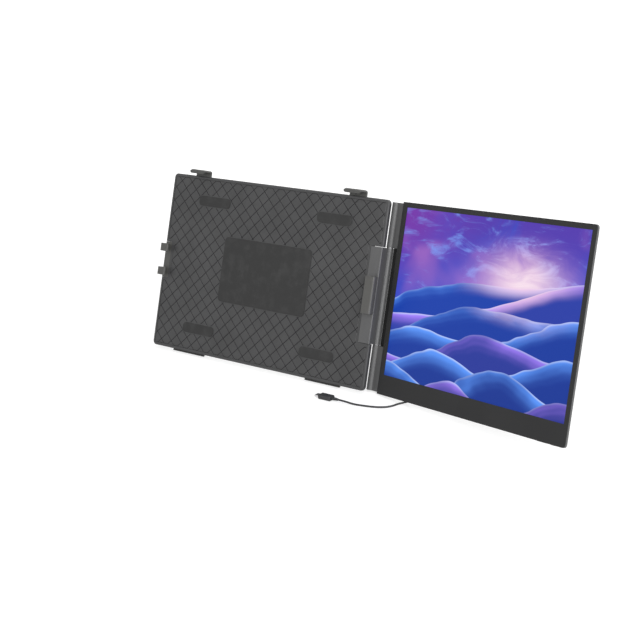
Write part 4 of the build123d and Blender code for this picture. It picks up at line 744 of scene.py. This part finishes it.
# ---------------------------------------------------------------- lit panel
# A matt 16:10 panel. It shows a plain wallpaper of soft folds under drifting haze, in blue,
# violet and pink. Each fold is a sine curve with a lit edge, and the haze is noise.
panel_left, panel_low, panel_width, panel_height = 0.0272, -0.098, 0.3447, 0.2154
panel_finish, sockets, places = new_material("screen_glass")
sockets["Specular IOR Level"].default_value = 0.1
u = (places.along(across_display) - hinge.dot(across_display) - panel_left) / panel_width
v = (places.along(up) - hinge.dot(up) - panel_low) / panel_height
flat = places.node("ShaderNodeCombineXYZ", {}, {0: u * 1.6, 1: v, 2: 0.37})
haze = flat.noise(2.1, 7.0, 0.58, 0.7)
wisps = flat.stretched((0.7, 2.2, 1.0), (0, 0, 0.35)).noise(4.6, 9.0, 0.62, 1.2)
drift = flat.stretched((1.0, 1.6, 1.0), (0, 0, 0.6)).noise(1.3, 3.0, 0.5, 0.3)
sky = v.step(0.35, 1.0).mix((0.03, 0.12, 0.72), (0.085, 0.04, 0.42))
sky = (haze.step(0.40, 0.62) * 0.9).mix(sky, (0.03, 0.07, 0.55))
sky = ((1 - u.step(0.0, 0.5)) * v.step(0.4, 0.95) * 0.85).mix(sky, (0.19, 0.03, 0.38))
sky = (drift.step(0.5, 0.66) * v.step(0.3, 0.8) * 0.6).mix(sky, (0.42, 0.16, 0.56))
sky = (wisps.step(0.50, 0.74) * 0.7).mix(sky, (0.20, 0.36, 0.95))
glow_across, glow_up, folds = 0.70, 0.60, 8
glow_x = (u - glow_across) * 1.5
glow_y = (v - glow_up - 0.12 * wisps) * 1.9
reach = glow_x * glow_x + glow_y * glow_y
glow = 1 - reach.maths("SQRT", reach).step(0.0, 0.6)
sky = (glow * (0.15 + 1.1 * haze)).mix(sky, (0.86, 0.38, 0.70))
picture = ((glow ** 2.6) * (0.4 + 0.9 * wisps)).mix(sky, (1.0, 0.83, 0.88))
first_crest, crest_step = 0.60, 0.085
for fold in range(folds):
    near = fold / (folds - 1)
    rise = (0.34 - 0.25 * near) * (u - 0.5)
    crest = first_crest - crest_step * fold + rise
    swell = (u * (4.1 + 0.9 * fold) + 2.3 * fold + 1.2 * drift).sine() * (0.05 + 0.02 * near)
    below = crest + swell + 0.16 * (drift - 0.5) - v
    inside = below.step(0.0, 0.003)
    sheen = 1 - below.step(0.0, 0.09 + 0.05 * near)
    edge = 1 - below.step(0.0, 0.016)
    threads = (below * (210.0 - 60.0 * near) + 9.0 * haze).sine() * 0.5 + 0.5
    patch = drift.step(0.36, 0.62) if fold % 2 else 1 - drift.step(0.40, 0.66)
    violet = 0.5 if fold % 3 == 1 else 0.0
    fade = 1 - 0.45 * near
    deep = (0.004 + 0.03 * violet, 0.012 + 0.035 * fade, 0.10 + 0.30 * fade)
    bright = (0.10 + 0.5 * violet, 0.30 - 0.18 * violet, 0.95)
    tint = ((sheen ** 1.6) * (0.22 + 0.78 * patch) + 0.10 * threads * sheen).mix(deep, bright)
    tint = (edge * (0.2 + 0.8 * patch) * 0.75).mix(tint, (0.62, 0.72, 1.0))
    tint = (glow * sheen * 0.8).mix(tint, (1.0, 0.66, 0.80))
    picture = inside.mix(picture, tint)
feed(sockets, Base_Color=(0.002, 0.002, 0.003, 1.0), Roughness=0.45)
feed(sockets, Emission_Color=picture, Emission_Strength=1.0)
dress(panel_finish, "lcd_panel")


# ---------------------------------------------------------------- inside the display
# The backlight, its pressed tray, the two circuit boards and the speakers fill the shell.
guide_finish, sockets, places = new_material("clear_acrylic")
clear_tint = places.noise(300.0).mix((0.78, 0.80, 0.84), (0.86, 0.88, 0.90))
feed(sockets, Base_Color=clear_tint, Roughness=0.12)
dress(guide_finish, "light_guide")
along_tray = (60.0, 900.0, 900.0)
tray_finish = steel("tray_metal", (0.78, 0.78, 0.79), (0.66, 0.66, 0.67), 0.3, along_tray)
dress(tray_finish, "panel_tray")
board_finish, sockets, places = new_material("circuit_board")
bricks = {"Vector": places.stretched((1, 0, 1)), "Scale": 160.0}
tracks = places.node("ShaderNodeTexBrick", {}, bricks, 1)
board_tint = (tracks * 0.6).mix((0.008, 0.07, 0.03), (0.02, 0.14, 0.06))
feed(sockets, Base_Color=board_tint, Roughness=0.35)
dress(board_finish, "driver_board", "button_board")
cone_finish = rubber("speaker_cone", (0.012, 0.012, 0.012), 3000.0, 0.00006)
dress(cone_finish, "speakers")


# ---------------------------------------------------------------- buttons
# The power button and the menu rocker are glossy black caps under the display's lower edge.
button_finish = moulded("button_plastic", (0.020, 0.020, 0.021), 0.28, 0.00001, 0.1, 0.5)
softened("power_button", "power_button", "button_plastic", button_finish, 0.2)
softened("menu_rocker", "menu_rocker", "button_plastic", button_finish, 0.2)


# ---------------------------------------------------------------- studio
# A white sweep that pales with distance, under a soft white sky. Five lamps: three from the front
# and the display's side, one above and one behind. Each is given by its turn and rise from the
# part in degrees, its distance and size in metres, and its power.
table_level, table_size, table_gap = -0.1213, 12.0, 0.0002
bpy.ops.mesh.primitive_plane_add(size=table_size, location=(0, 0, table_level - table_gap))
floor = bpy.context.object
floor.name = "floor"
floor_finish, sockets, places = new_material("floor")


def ray_shown(values):
    """1 for rays that show a surface: camera rays, glossy rays and rays through clear things."""
    camera_ray, glossy_ray, clear_ray = (
        values.node("ShaderNodeLightPath", {}, {}, output) for output in (0, 3, 6)
    )
    either = values.maths("MAXIMUM", camera_ray, glossy_ray)
    return values.maths("MAXIMUM", either, clear_ray)


distance = places.node("ShaderNodeVectorMath", {"operation": "LENGTH"}, {0: places}, 1)
paleness = distance.step(0.5, 2.2).mix((0.62, 0.62, 0.62), (1.0, 1.0, 1.0))
feed(sockets, Base_Color=(0.5, 0.5, 0.5, 1.0), Roughness=0.9)
feed(sockets, Emission_Color=ray_shown(places).mix((0, 0, 0), paleness), Emission_Strength=1.0)
sockets["Specular IOR Level"].default_value = 0.0
floor.data.materials.append(floor_finish)

world = bpy.data.worlds.new("studio")
scene.world = world
world.use_nodes = True
sky_sockets = world.node_tree.nodes["Background"].inputs
feed(sky_sockets, Color=(1.0, 1.0, 1.0, 1.0))
feed(sky_sockets, Strength=0.45 + 0.55 * ray_shown(Shade(world.node_tree)))

target = Vector((0.18, 0.0, 0.0))
for name, turn, rise, reach, width, height, power in (
    ("key", -58.0, 38.0, 3.0, 1.4, 1.4, 12.0),
    ("strip", -74.6, 16.0, 2.6, 0.25, 1.8, 10.0),
    ("side", -32.0, 20.0, 2.8, 1.3, 1.6, 52.0),
    ("top", 60.0, 70.0, 2.6, 1.8, 1.8, 26.0),
    ("back", 130.0, 30.0, 3.0, 1.6, 1.6, 22.0),
):
    lamp = bpy.data.objects.new(name, bpy.data.lights.new(name, "AREA"))
    scene.collection.objects.link(lamp)
    lamp.data.shape = "RECTANGLE"
    lamp.data.size = width
    lamp.data.size_y = height
    lamp.data.energy = power
    level = reach * math.cos(math.radians(rise))
    place = Vector((level * math.cos(math.radians(turn)), level * math.sin(math.radians(turn)), 0))
    place.z = reach * math.sin(math.radians(rise))
    lamp.location = target + place
    lamp.rotation_euler = (-place).to_track_quat("-Z", "Y").to_euler()
